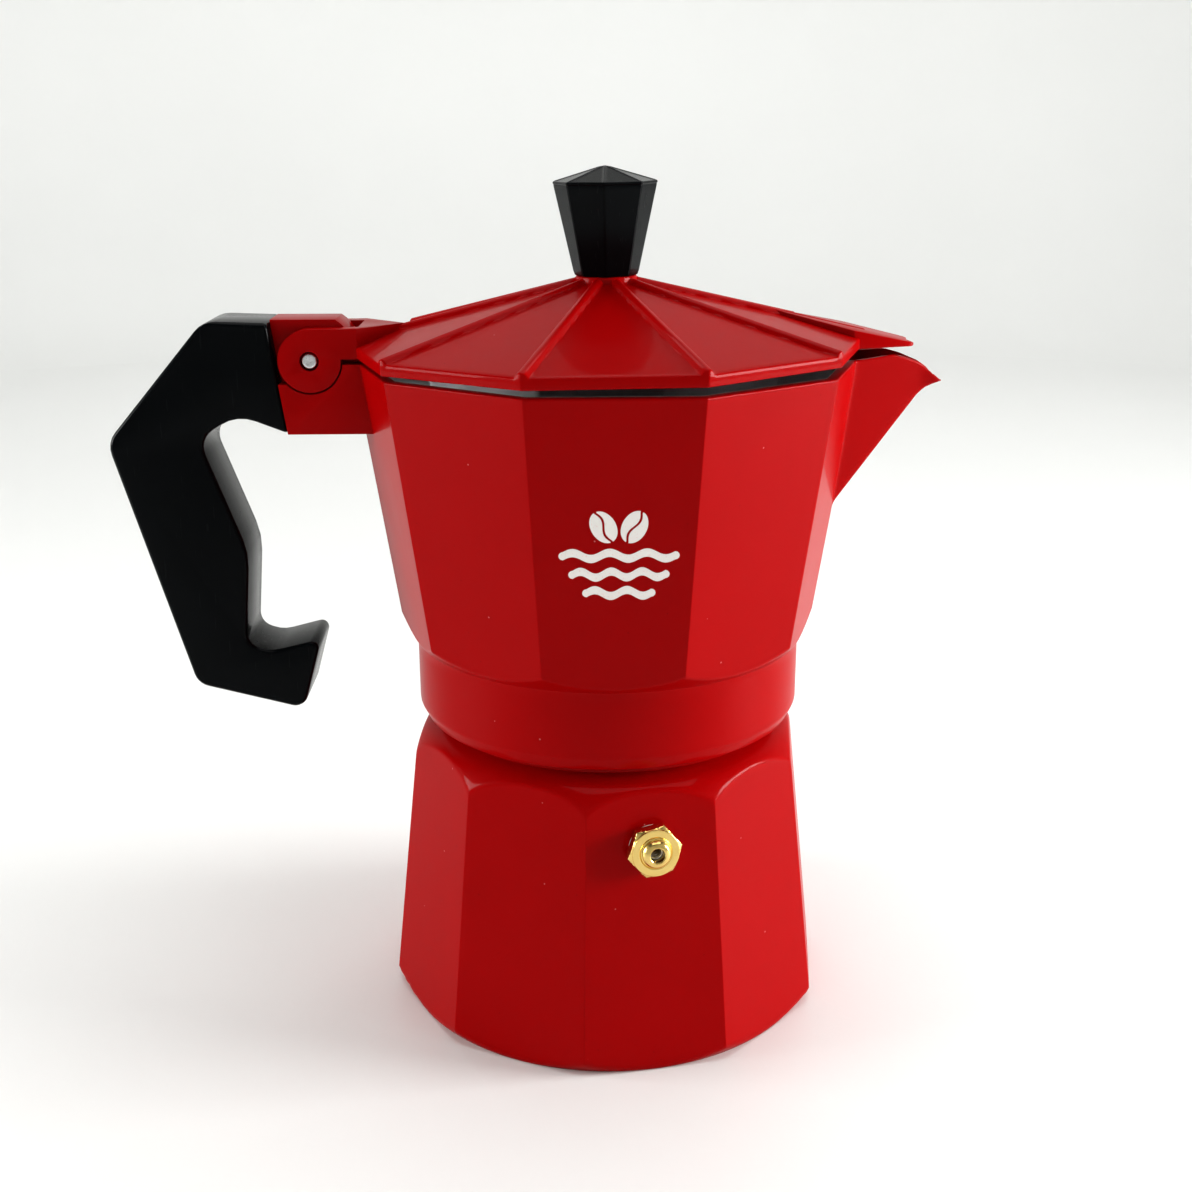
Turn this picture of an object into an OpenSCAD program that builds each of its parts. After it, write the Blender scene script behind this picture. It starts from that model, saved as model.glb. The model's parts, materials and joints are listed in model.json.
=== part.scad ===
// Stove-top coffee maker (moka pot), three cup size, with ten flat sides.
// The origin is the centre of the boiler's underside. +Z is up, the handle
// points along -X, the spout along +X, and the valve is a little right of -Y.

/* [Boiler] */
// Number of flat sides on the boiler, jug and lid
side_count = 10; // [8:2:12]
// Corner radius of the boiler at the table
base_r = 44; // [40.5:0.5:54]
// Height of the boiler's corners
boiler_h = 50.3; // [42:0.1:62]
// How far the boiler's shoulder stands outside its neck
shoulder_step = 5.9; // [4:0.1:9]
// Radius of the turned shoulder curve
shoulder_curve = 9.9; // [8:0.1:12]
// Radius of the turned ring that the boiler stands on
foot_r = 41.4; // [36:0.1:41.6]
// Height of the turned bevel at the boiler's bottom corners
foot_bevel = 3; // [1:0.5:6]
// Wall of the boiler
boiler_wall = 2.2; // [1.6:0.1:3.4]
// Thickness of the boiler's floor
boiler_floor = 3; // [2:0.1:5]
// Angle of the valve's flat side about the pot's axis
valve_angle = -79.3; // [-100:0.1:-60]

/* [Screw neck] */
// Radius of the boiler's neck at the thread's root
neck_r = 32.4; // [27:0.1:39]
// Height of the neck above the boiler's corners
neck_h = 15.7; // [13:0.1:20]
// Wall of the neck
neck_wall = 2.8; // [2.2:0.1:4]
// Thread pitch
thread_pitch = 3; // [2:0.25:3.6]
// Depth of each thread
thread_depth = 1.1; // [0.6:0.1:1.4]
// Radial gap between the two threads' crests
thread_gap = 0.3; // [0.2:0.05:0.6]

/* [Safety valve] */
// Height of the valve's centre
valve_h = 43.2; // [30:0.1:44]
// Width of the valve's hexagon across its flats
valve_hex = 8.84; // [7:0.01:11]
// Radius of the valve's threaded shank
valve_shank_r = 3; // [2.7:0.05:3.6]
// Length of the valve's hexagon
valve_hex_h = 2.4; // [1.6:0.1:4]
// Radius of the valve's steam hole
valve_hole_r = 1.3; // [0.8:0.05:1.6]
// Radius of the valve's ball
ball_r = 1.5; // [1.2:0.05:1.7]

/* [Funnel] */
// Depth of the coffee basket
basket_depth = 19; // [12:0.5:22]
// Sheet thickness of the funnel
sheet = 0.9; // [0.6:0.1:1.2]
// Thickness of the funnel's flange
flange_t = 1; // [0.6:0.1:1.6]
// Radius of the funnel's stem
stem_r = 4.6; // [3.4:0.1:6]
// Gap between the stem's end and the boiler's floor
stem_gap = 5; // [3:0.5:10]
// Thickness of each sieve plate
sieve_t = 0.8; // [0.5:0.1:1.2]
// Rings of holes in each sieve plate
sieve_rings = 5; // [2:1:5]
// Radius of each sieve hole
sieve_hole_r = 0.9; // [0.5:0.1:1.1]

/* [Gasket] */
// Thickness of the rubber gasket
gasket_t = 2.6; // [2:0.1:4]
// Radial width of the rubber gasket
gasket_w = 6.6; // [5:0.1:8]

/* [Jug] */
// Corner radius of the jug at its rim
rim_r = 47.5; // [44:0.5:57]
// Height of the jug above its skirt
jug_h = 52.9; // [46:0.1:64]
// Height of the round skirt
skirt_h = 15; // [13:0.1:18]
// How far the skirt's top stands above the neck
skirt_over = 6.8; // [5.5:0.1:8]
// Wall of the skirt outside its thread
skirt_wall = 2; // [1.6:0.1:3.5]
// How far the jug's bottom corners stand outside the skirt
jug_step = 3.2; // [2.4:0.1:5]
// Wall of the jug
jug_wall = 2.2; // [1.6:0.1:3]
// Thickness of the jug's floor
jug_floor = 2.9; // [2.4:0.1:4]
// Radius of the coffee column at its foot
column_r = 6.4; // [5:0.1:8]
// Height of the coffee column above the jug's floor
column_h = 43; // [34:0.5:46]
// Radius of the bore up the column
column_bore = 3.1; // [2.2:0.1:3.4]

/* [Spout] */
// Reach of the spout's tip beyond the rim's corner
spout_reach = 15.8; // [12:0.1:20]
// Half width of the spout where it leaves the rim
spout_half = 7.2; // [5.5:0.1:9]
// Depth of the spout below the rim, at the jug's corner
spout_drop = 28.7; // [24:0.1:36]
// Drop of the spout's tip below the rim
tip_drop = 4.7; // [3:0.1:7]

/* [Lid] */
// How far the lid's corners stand outside the rim
lid_over = 0.5; // [0.2:0.1:1.2]
// Gap between the rim and the lid, at the hinge
lid_gap = 0.87; // [0.6:0.01:1.6]
// Angle that the shut lid rests at
lid_rest = 0.66; // [0.2:0.01:1.5]
// Height of the lid's upright edge
lid_edge = 2; // [1.4:0.1:3]
// Rise of the lid's flat sides to the middle
lid_rise = 11.6; // [8:0.1:16]
// Wall of the lid
lid_wall = 1.5; // [1.2:0.1:1.9]
// Radius of the round ribs on the lid
rib_r = 1.15; // [0.8:0.05:1.5]
// How far each rib stands proud
rib_proud = 0.75; // [0.4:0.05:1]

/* [Knob] */
// Corner radius of the knob at its top
knob_r = 9.5; // [8:0.1:12]
// Corner radius of the knob at its foot
knob_foot_r = 5.9; // [5.5:0.1:7.5]
// Height of the knob's sides
knob_h = 16.4; // [14:0.1:20]
// Rise of the knob's pointed top
knob_point = 2.9; // [1.5:0.1:4]
// Radius of the knob's screw
knob_screw_r = 1.95; // [1.5:0.05:2.2]

/* [Hinge] */
// Distance of the hinge pin outside the rim's corner
pin_out = 6.5; // [6:0.1:8.5]
// Height of the hinge pin above the rim
pin_up = 0.6; // [0.2:0.1:1.5]
// Radius of the hinge pin
pin_r = 1.5; // [1.2:0.05:2]
// Running gap round the hinge pin
pin_gap = 0.06; // [0.03:0.01:0.1]
// Radius of the lid's knuckles
knuckle_r = 5.6; // [4.6:0.1:5.8]
// Width of the hinge and of the handle's bracket
hinge_w = 16; // [14:0.5:20]
// Width of the bracket's tongue between the knuckles
tongue_w = 9; // [7:0.5:10]
// Gap between moving parts of the hinge
hinge_gap = 0.4; // [0.3:0.05:0.6]

/* [Handle] */
// Width of the handle
handle_w = 15; // [12:0.5:20]
// Reach of the handle outside the bracket's face
handle_reach = 32; // [28:0.5:40]
// Height of the handle
handle_h = 74.2; // [66:0.1:78]
// Radius of the handle's screw
handle_screw_r = 2; // [1.6:0.1:2.4]
// Width of the bracket's tang inside the handle
tang_w = 5.6; // [5:0.1:7]

/* [Hidden] */

$fn = 72;
eps = 0.01;
side_angle = 360 / side_count;
side_cos = cos(side_angle / 2);

// heights up the pot's axis
shoulder_r = neck_r + shoulder_step;
neck_top = boiler_h + neck_h;
flange_top = neck_top + flange_t;
gasket_top = flange_top + gasket_t;
filter_play = 0.05;
filter_low = gasket_top + filter_play;
filter_top = filter_low + sieve_t;
brew_gap = 0.7;
floor_low = filter_top + brew_gap;
floor_top = floor_low + jug_floor;
skirt_bore = neck_r + 2 * thread_depth + thread_gap;
skirt_r = skirt_bore + skirt_wall;
skirt_top = neck_top + skirt_over;
skirt_low = skirt_top - skirt_h;
rim_z = skirt_top + jug_h;

// corner radius of the jug and of the boiler at a height
jug_foot_r = skirt_r + jug_step;
jug_foot_z = skirt_top + jug_step;
function jug_r(z) = jug_foot_r + (rim_r - jug_foot_r) * (z - jug_foot_z) / (rim_z - jug_foot_z);
function boiler_r(z) = base_r + (shoulder_r - base_r) * z / boiler_h;
boiler_lean = atan((base_r - shoulder_r) * side_cos / boiler_h);

// places of the hinge, the lid and the handle
pin_x = -(rim_r + pin_out);
pin_z = rim_z + pin_up;
lid_r = rim_r + lid_over;
lid_low = rim_z + lid_gap;
lid_shoulder = lid_low + lid_edge;
lid_top = lid_shoulder + lid_rise;
knob_low = lid_top - 0.1;
tongue_r = pin_out + hinge_gap + 1.5;
lug_x = pin_x + tongue_r + hinge_gap;
lug_top = pin_z + knuckle_r + 0.1;
bracket_low = rim_z - 12.7;
bracket_top = pin_z + 7.1;
joint_low_x = pin_x - 4.6;
joint_top_x = pin_x - 7.3;
handle_screw_z = pin_z - 5.9;
tang_reach = 6.5;
play = 0.15;

// An upright solid with flat sides, from rows of [corner radius, z] going up,
// with one corner towards +X. Each pair of opposite sides is one slab.
module flat_sided(count, rows) {
    flat = cos(180 / count);
    last = len(rows) - 1;
    wide = 3 * max([for (row = rows) row[0]]);
    right = [for (row = rows) [row[0] * flat, row[1]]];
    left = [for (i = [last : -1 : 0]) if (rows[i][0] > 0) [-rows[i][0] * flat, rows[i][1]]];
    intersection_for (i = [0 : count / 2 - 1])
        rotate((i + 0.5) * 360 / count)
            rotate([90, 0, 0])
                linear_extrude(wide, center = true) polygon(concat(right, left));
}

// A ring with a square section
module ring(outer_r, inner_r, z, h) {
    translate([0, 0, z]) difference() {
        cylinder(r = outer_r, h = h);
        translate([0, 0, -1]) cylinder(r = inner_r, h = h + 2);
    }
}

// A round bar along X from x0 to x1
module bar_x(r, x0, x1, z) {
    translate([x0, 0, z]) rotate([0, 90, 0]) cylinder(r = r, h = x1 - x0);
}

// A round bar along Y, centred on the pot's middle plane
module bar_y(r, w, x, z) {
    translate([x, 0, z]) rotate([90, 0, 0]) cylinder(r = r, h = w, center = true);
}

// An outline in the pot's middle plane, w wide
module plate_y(w, outline) {
    rotate([90, 0, 0]) linear_extrude(w, center = true) polygon(outline);
}

// Points round a corner p of an outline between its neighbours a and b
function corner_arc(a, p, b, r) =
    let (u = (a - p) / norm(a - p),
         v = (b - p) / norm(b - p),
         half = acos(u * v) / 2,
         run = min(r / tan(half), 0.49 * min(norm(a - p), norm(b - p))),
         rr = run * tan(half),
         c = p + (u + v) / norm(u + v) * rr / sin(half),
         s = p + u * run - c,
         e = p + v * run - c,
         a0 = atan2(s[1], s[0]),
         sweep = let (d = atan2(e[1], e[0]) - a0) d > 180 ? d - 360 : d < -180 ? d + 360 : d,
         steps = max(1, ceil(abs(sweep) / 12)))
    [for (i = [0 : steps]) c + rr * [cos(a0 + sweep * i / steps), sin(a0 + sweep * i / steps)]];

// An outline of [x, z, corner radius] rows with its corners rounded
function rounded(rows) = let (n = len(rows)) [
    for (i = [0 : n - 1])
        let (p = [rows[i][0], rows[i][1]],
             a = [rows[(i + n - 1) % n][0], rows[(i + n - 1) % n][1]],
             b = [rows[(i + 1) % n][0], rows[(i + 1) % n][1]])
        each rows[i][2] > 0 ? corner_arc(a, p, b, rows[i][2]) : [p]
];

// Thread crests standing out of a neck (side = 1) or in from a skirt (side = -1)
module thread_rings(root_r, side, z0, z1) {
    root = thread_pitch * 0.36;
    crest = thread_pitch * 0.12;
    for (z = [z0 + root : thread_pitch : z1 - root])
        rotate_extrude()
            polygon([[root_r - side * 0.4, z - root], [root_r, z - root],
                     [root_r + side * thread_depth, z - crest],
                     [root_r + side * thread_depth, z + crest],
                     [root_r, z + root], [root_r - side * 0.4, z + root]]);
}

// Holes of a sieve plate: one in the middle and rings of six more each
module sieve_holes(field_r, z) {
    gap = field_r / sieve_rings;
    for (k = [1 : sieve_rings], i = [0 : 6 * k - 1])
        rotate(i * 60 / k) translate([k * gap, 0, z - 1])
            cylinder(r = sieve_hole_r, h = sieve_t + 2, $fn = 16);
    translate([0, 0, z - 1]) cylinder(r = sieve_hole_r, h = sieve_t + 2, $fn = 16);
}

// ---- boiler ---------------------------------------------------------------
shoulder_cx = shoulder_r - 9.2;
shoulder_cz = boiler_h - 3.7;
shoulder_top = shoulder_cz + shoulder_curve;
function shoulder_z(r) = shoulder_cz + sqrt(pow(shoulder_curve, 2) - pow(r - shoulder_cx, 2));
cavity_foot_r = foot_r - boiler_wall - 1;
cavity_top_r = boiler_r(boiler_h) * side_cos - boiler_wall;
neck_bore = neck_r - neck_wall;

module boiler_turning() {
    wide = base_r + 5;
    slope = foot_bevel / (base_r - foot_r);
    rotate_extrude() union() {
        polygon([[0, 0], [foot_r, 0], [wide, slope * (wide - foot_r)],
                 [wide, shoulder_cz], [0, shoulder_cz]]);
        translate([shoulder_cx, shoulder_cz]) circle(r = shoulder_curve);
        translate([0, shoulder_cz - 1]) square([shoulder_cx, shoulder_curve + 1]);
    }
}

// Places its children on the valve's axis, +Z outward, at the flat's surface
module at_valve() {
    flat_r = boiler_r(valve_h) * side_cos;
    rotate(valve_angle)
        translate([flat_r, 0, valve_h])
            rotate([0, 90 - boiler_lean, 0])
                children();
}

module boiler_inside() {
    bend = 4;
    rotate_extrude()
        polygon([[0, boiler_floor], [cavity_foot_r - bend, boiler_floor],
                 [cavity_foot_r - 0.3 * bend, boiler_floor + 0.3 * bend],
                 [cavity_foot_r, boiler_floor + bend],
                 [cavity_top_r, boiler_h - 4.5],
                 [cavity_top_r - 1, boiler_h - 1.2],
                 [neck_bore, boiler_h + 1.6],
                 [neck_bore, neck_top + 1], [0, neck_top + 1]]);
}

module boiler() {
    boss_r = valve_shank_r + 3.2;
    color([0.72, 0.02, 0.04]) difference() {
        union() {
            intersection() {
                rotate(valve_angle - side_angle / 2)
                    flat_sided(side_count, [[boiler_r(0), 0],
                                            [boiler_r(shoulder_top + 2), shoulder_top + 2]]);
                boiler_turning();
            }
            ring(neck_r, neck_bore, boiler_h, neck_h);
            thread_rings(neck_r, 1, shoulder_top + 0.8, neck_top - 0.6);
        }
        difference() {
            boiler_inside();
            at_valve() translate([0, 0, -valve_len]) cylinder(r = boss_r, h = valve_len);
        }
        at_valve() translate([0, 0, -20]) cylinder(r = valve_shank_r, h = 30);
        ring(foot_r - 4, foot_r - 7, -1, 1.6);
    }
}

// ---- safety valve ---------------------------------------------------------
valve_len = 5.2;
washer_t = 0.5;
chamber_r = ball_r + 0.35;
chamber_top = washer_t + valve_hex_h + 0.3;
seat_t = 1.3;
seat_top = -valve_len + seat_t;
seat_hole = ball_r * 0.66;
ball_z = seat_top + sqrt(pow(ball_r, 2) - pow(seat_hole, 2)) + 0.02;
spring_gap = 0.12;

module valve_washer() {
    color("white") at_valve() ring(valve_hex / 2 - 0.1, valve_shank_r + 0.05, 0, washer_t);
}

module valve_body() {
    face_r = valve_hex * 0.49;
    face_z = washer_t + valve_hex_h;
    nose_r = face_r * 0.62;
    nose_h = 1.9;
    color([0.83, 0.66, 0.25]) at_valve() difference() {
        union() {
            translate([0, 0, -valve_len]) cylinder(r = valve_shank_r, h = valve_len + washer_t);
            translate([0, 0, washer_t])
                cylinder(r = valve_hex / 2 / cos(30), h = valve_hex_h, $fn = 6);
            translate([0, 0, face_z - eps]) cylinder(r = face_r, h = 0.4);
            translate([0, 0, face_z]) rotate_extrude()
                polygon([[0, 0], [nose_r, 0], [nose_r, nose_h * 0.45],
                         [nose_r * 0.92, nose_h * 0.75], [nose_r * 0.72, nose_h * 0.95],
                         [nose_r * 0.55, nose_h], [0, nose_h]]);
        }
        translate([0, 0, -valve_len - 1]) cylinder(r = chamber_r, h = valve_len + 1 + chamber_top);
        translate([0, 0, 0]) cylinder(r = valve_hole_r, h = 12);
    }
}

module valve_seat() {
    color([0.8, 0.62, 0.2]) at_valve() ring(chamber_r, seat_hole, -valve_len, seat_t);
}

module valve_ball() {
    color("silver") at_valve() translate([0, 0, ball_z]) sphere(r = ball_r);
}

module valve_spring() {
    wire = 0.22;
    coil_r = 0.78 * ball_r;
    low = ball_z + sqrt(pow(ball_r, 2) - pow(coil_r, 2)) + wire + spring_gap;
    high = chamber_top - wire;
    turns = 4;
    color("gray") at_valve()
        for (i = [0 : turns])
            translate([0, 0, low + (high - low) * i / turns])
                rotate_extrude() translate([coil_r, 0]) circle(r = wire, $fn = 16);
}

// ---- funnel, sieves and gasket ---------------------------------------------
basket_r = neck_bore - 0.6;
basket_foot_r = basket_r - 0.5;
basket_low = neck_top - basket_depth;
cone_low = basket_low - basket_r * 0.42;
stem_low = boiler_floor + stem_gap;
ledge_w = 1.2;

module funnel() {
    color([0.78, 0.79, 0.8]) rotate_extrude()
        polygon([[neck_r - 0.3, flange_top], [neck_r - 0.3, neck_top], [basket_r, neck_top],
                 [basket_foot_r, basket_low], [stem_r, cone_low],
                 [stem_r - sheet, cone_low], [stem_r - sheet, cone_low + sheet * 0.4],
                 [basket_foot_r - sheet - ledge_w, basket_low + sheet * 0.4],
                 [basket_foot_r - sheet - ledge_w, basket_low + sheet],
                 [basket_foot_r - sheet, basket_low + sheet],
                 [basket_r - sheet, flange_top]]);
}

module funnel_stem() {
    color([0.78, 0.79, 0.8]) ring(stem_r, stem_r - sheet, stem_low, cone_low - stem_low);
}

module funnel_sieve() {
    z = basket_low + sheet;
    plate_r = basket_foot_r - sheet;
    color([0.7, 0.71, 0.72]) difference() {
        translate([0, 0, z]) cylinder(r = plate_r, h = sieve_t);
        sieve_holes(plate_r - 4, z);
    }
}

module gasket() {
    outer_r = neck_r + 0.7;
    color([0.9, 0.9, 0.86]) ring(outer_r, outer_r - gasket_w, flange_top, gasket_t);
}

filter_r = neck_r - 3.8;

module upper_filter() {
    color([0.75, 0.76, 0.78]) difference() {
        translate([0, 0, filter_low]) cylinder(r = filter_r, h = sieve_t);
        sieve_holes(filter_r - 5, filter_low);
    }
}

// ---- jug --------------------------------------------------------------------
// Heights of the spout's lower ridge and of its rim, and the thickness of its
// bottom, by distance outside the jug's corner at the rim
spout_bury = 0.3;
spout_root_r = jug_r(rim_z - spout_drop) - spout_bury;
tip_x = rim_r + spout_reach;
tip_z = rim_z - tip_drop;
flick_x = tip_x - spout_reach * 0.32;
flick_z = rim_z - 7.4;
ridge_rows = [[spout_root_r, rim_z - spout_drop], [flick_x, flick_z],
              [flick_x + 1.3, flick_z + 1.25], [flick_x + 2.8, tip_z - 0.75],
              [tip_x, tip_z]];
function reach_x(share) = spout_root_r + share * (flick_x - spout_root_r);
brim_rows = [[reach_x(0.15), rim_z - 0.03], [reach_x(0.626), rim_z + 0.7],
             [reach_x(0.789), rim_z + 0.1], [flick_x, rim_z - 1.2],
             [flick_x + 2.8, rim_z - 2.9], [tip_x, tip_z + 0.1]];
ridge_slope = (flick_z - rim_z + spout_drop) / (flick_x - spout_root_r);
function ridge_z(x) = x < spout_root_r
    ? rim_z - spout_drop - ridge_slope * (spout_root_r - x) : lookup(x, ridge_rows);
spout_flare = spout_half / (rim_z - ridge_z(reach_x(0.15)));
spout_middle = [for (share = [0, 0.15, 0.43, 0.626, 0.789, 1]) reach_x(share)];
spout_end = [flick_x + 1.3, flick_x + 2.8];

// The spout as rows of three points, with its bottom raised by lift_rows and
// its top raised by up
function spout_row(x, lift, up) =
    let (low = ridge_z(x) + lift,
         high = lookup(x, brim_rows) + up,
         half = spout_flare * (high - low))
    [[x, 0, low], [x, half, high], [x, -half, high]];

module spout_solid(stations, lift_rows, up) {
    rows = [for (x = stations) spout_row(x, lookup(x, lift_rows), up)];
    n = len(rows);
    polyhedron(
        points = [for (row = rows, p = row) p],
        faces = concat(
            [[0, 1, 2]],
            [for (i = [0 : n - 2], k = [0 : 2])
                [3 * i + k, 3 * i + 3 + (k + 1) % 3, 3 * i + (k + 1) % 3]],
            [for (i = [0 : n - 2], k = [0 : 2])
                [3 * i + k, 3 * i + 3 + k, 3 * i + 3 + (k + 1) % 3]],
            [[3 * n - 1, 3 * n - 2, 3 * n - 3]]));
}

// A jug side wall's thickness, turned into the height that lifts the channel
wall_lift = 1.7 / spout_flare;
channel_rows = [[spout_root_r, wall_lift], [reach_x(0.43), wall_lift * 0.9],
                [reach_x(0.789), wall_lift * 0.6], [flick_x, wall_lift * 0.36],
                [flick_x + 2.8, wall_lift * 0.2], [tip_x + 3, wall_lift * 0.14]];

module jug_outside() {
    intersection() {
        flat_sided(side_count, [[jug_r(skirt_top - 2), skirt_top - 2], [rim_r, rim_z]]);
        rotate_extrude()
            polygon([[0, skirt_top - 2], [skirt_r, skirt_top - 2], [skirt_r, skirt_top],
                     [skirt_r + 30, skirt_top + 30], [skirt_r + 30, rim_z + 1],
                     [0, rim_z + 1]]);
    }
    bevel = 1.3;
    rotate_extrude()
        polygon([[0, skirt_low], [skirt_r - bevel, skirt_low],
                 [skirt_r, skirt_low + 2 * bevel], [skirt_r, skirt_top], [0, skirt_top]]);
}

module bracket() {
    ear_space = tongue_w / 2;
    difference() {
        plate_y(hinge_w, [[-(jug_r(bracket_low) - jug_wall), bracket_low],
                          [-(rim_r - jug_wall), rim_z],
                          [pin_x, rim_z], [joint_top_x + 0.9, pin_z],
                          [joint_low_x, bracket_low]]);
        for (side = [-1, 1])
            translate([0, side * (ear_space + 10), 0]) {
                bar_y(knuckle_r + hinge_gap, 20, pin_x, pin_z);
                translate([pin_x - 20, -10, pin_z - 4.2]) cube([20, 20, 20]);
            }
    }
    intersection() {
        plate_y(tongue_w, [[pin_x + 12, bracket_low + 4], [pin_x + 12, bracket_top],
                           [joint_top_x, bracket_top], [joint_low_x, bracket_low],
                           [pin_x, bracket_low]]);
        union() {
            bar_y(tongue_r, tongue_w + 1, pin_x, pin_z);
            translate([pin_x - 20, -tongue_w, bracket_low])
                cube([20, 2 * tongue_w, bracket_top - bracket_low]);
        }
    }
    translate([joint_top_x - tang_reach + 2, -tang_w / 2, handle_screw_z - 3.4])
        cube([tang_reach + 2, tang_w, 12]);
}

module collector() {
    inset = jug_wall / side_cos;
    column_seat_r = column_r - 1.2;
    color([0.72, 0.02, 0.04]) difference() {
        union() {
            jug_outside();
            spout_solid(concat(spout_root_r - 7.4, spout_middle, spout_end, tip_x), [[0, 0]], 0);
            bracket();
        }
        flat_sided(side_count, [[jug_r(floor_top) - inset, floor_top],
                                [jug_r(rim_z + 1) - inset, rim_z + 1]]);
        spout_solid(concat(spout_root_r - 4.4, spout_middle, spout_end, tip_x + 2),
                    channel_rows, 3);
        difference() {
            translate([0, 0, skirt_low - 1])
                cylinder(r = skirt_bore, h = gasket_top - skirt_low + 1);
            thread_rings(skirt_bore, -1, skirt_low + 1.6, neck_top - 0.4);
        }
        translate([0, 0, skirt_low - 1]) cylinder(r = filter_r + 0.2, h = filter_top - skirt_low + 1);
        translate([0, 0, filter_top - 1]) cylinder(r = filter_r - 1.5, h = brew_gap + 1);
        translate([0, 0, floor_low - 1]) cylinder(r = column_seat_r, h = 6);
        bar_y(pin_r, hinge_w + 2, pin_x, pin_z);
        bar_x(handle_screw_r, pin_x - 20, pin_x + 4.5, handle_screw_z);
    }
}

module coffee_column() {
    seat_r = column_r - 1.2;
    top = floor_top + column_h;
    window_z = top - 4.4;
    color([0.76, 0.76, 0.77]) difference() {
        union() {
            translate([0, 0, floor_low]) cylinder(r = seat_r, h = jug_floor + 0.1);
            rotate_extrude()
                polygon([[0, floor_top], [column_r + 1, floor_top],
                         [column_r + 1, floor_top + 0.8], [column_r, floor_top + 2],
                         [column_r - 1.7, top - 2], [column_r - 2.5, top - 0.6],
                         [column_r - 3.4, top], [0, top]]);
        }
        translate([0, 0, floor_low - 1]) cylinder(r = column_bore, h = window_z - floor_low + 2);
        for (turn = [0, 90])
            rotate(turn) translate([0, 0, window_z]) rotate([90, 0, 0])
                cylinder(r = 1.5, h = 4 * column_r, center = true);
    }
}

// ---- lid --------------------------------------------------------------------
// Turns the lid's pieces to the small angle at which the shut lid rests
module at_lid() {
    translate([pin_x, 0, pin_z]) rotate([0, -lid_rest, 0]) translate([-pin_x, 0, -pin_z])
        children();
}

cover_reach = rim_r + 8.9;
cover_back = lid_r * 0.62;
rib_angle = atan(lid_rise / lid_r);
function rib_z(x) = lid_top - lid_rise * x / lid_r + rib_proud * 0.9;

module lid_ribs() {
    for (i = [0 : side_count - 1])
        rotate(i * side_angle)
            translate([lid_r - 0.5, 0, lid_shoulder + rib_proud - rib_r + 0.1])
                rotate([0, -90 + rib_angle, 0])
                    cylinder(r = rib_r, h = lid_r - 7, $fn = 32);
}

// Flat-topped cover over the spout: a plan outline under a sloping plane
module spout_cover() {
    tip_half = spout_half * 0.6;
    intersection() {
        translate([0, 0, lid_low])
            linear_extrude(lid_rise)
                polygon(rounded([[cover_back, 0, 0], [rim_r - 2.9, -spout_half - 0.2, 0],
                                 [cover_reach, -tip_half, 1.2], [cover_reach - 0.9, 0, 1],
                                 [cover_reach, tip_half, 1.2],
                                 [rim_r - 2.9, spout_half + 0.2, 0]]));
        plate_y(4 * spout_half, [[cover_back - 1, lid_low], [cover_reach - 1, lid_low],
                                 [cover_reach + 1, lid_low + 0.6],
                                 [cover_reach + 1, rib_z(cover_reach + 1)],
                                 [cover_back - 1, rib_z(cover_back - 1)]]);
    }
}

module hinge_lug() {
    back_x = -(lid_r - 10.6);
    difference() {
        union() {
            intersection() {
                translate([0, 0, lid_low])
                    linear_extrude(lug_top - lid_low)
                        polygon([[pin_x, -hinge_w / 2], [lug_x, -hinge_w / 2], [back_x, 0],
                                 [lug_x, hinge_w / 2], [pin_x, hinge_w / 2]]);
                plate_y(2 * hinge_w, [[pin_x, lid_low], [back_x, lid_low],
                                      [back_x, lug_top - 0.1], [lug_x, lug_top],
                                      [pin_x, lug_top - 0.1]]);
            }
            bar_y(knuckle_r, hinge_w, pin_x, pin_z);
        }
        translate([pin_x - 10, -tongue_w / 2 - hinge_gap, pin_z - 10])
            cube([lug_x - pin_x + 10, tongue_w + 2 * hinge_gap, 20]);
    }
}

module lid() {
    inner_r = lid_r - 3 / side_cos;
    boss_r = knob_foot_r - 0.3;
    inner_z = lid_shoulder + lid_rise * (1 - inner_r / lid_r) - lid_wall / cos(rib_angle);
    color([0.75, 0.02, 0.04]) at_lid() difference() {
        union() {
            flat_sided(side_count, [[lid_r, lid_low], [lid_r, lid_shoulder], [0, lid_top]]);
            lid_ribs();
            spout_cover();
            hinge_lug();
            translate([0, 0, lid_top - 4]) cylinder(r = boss_r, h = knob_low - lid_top + 4);
        }
        difference() {
            flat_sided(side_count, [[inner_r, lid_low - 1], [inner_r, inner_z],
                                    [0, inner_z + lid_rise * inner_r / lid_r]]);
            translate([0, 0, lid_top - 4]) cylinder(r = boss_r + 1.4, h = 8);
        }
        translate([pin_x - 10, -tongue_w / 2 - hinge_gap, lid_low - 10])
            cube([lug_x - pin_x + 10, tongue_w + 2 * hinge_gap, 30]);
        bar_y(pin_r + pin_gap, hinge_w + 2, pin_x, pin_z);
        translate([0, 0, lid_top - 8]) cylinder(r = knob_screw_r + 0.15, h = 12);
    }
}

knob_turn = -92.7;
insert_r = knob_screw_r + 1.2;
insert_h = 9;

module lid_knob() {
    lip = 0.9;
    color([0.06, 0.06, 0.07]) at_lid() difference() {
        rotate(knob_turn)
            flat_sided(8, [[knob_foot_r, knob_low], [knob_r, knob_low + knob_h],
                           [knob_r - 0.3 * lip, knob_low + knob_h + 0.4 * lip],
                           [0, knob_low + knob_h + knob_point]]);
        translate([0, 0, knob_low - 1]) cylinder(r = insert_r, h = insert_h + 1.4);
    }
}

module knob_insert() {
    color([0.8, 0.65, 0.3]) at_lid() ring(insert_r, knob_screw_r + 0.05, knob_low, insert_h);
}

knob_washer_t = 0.8;
washer_low = lid_top - 4 - knob_washer_t;

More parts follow.
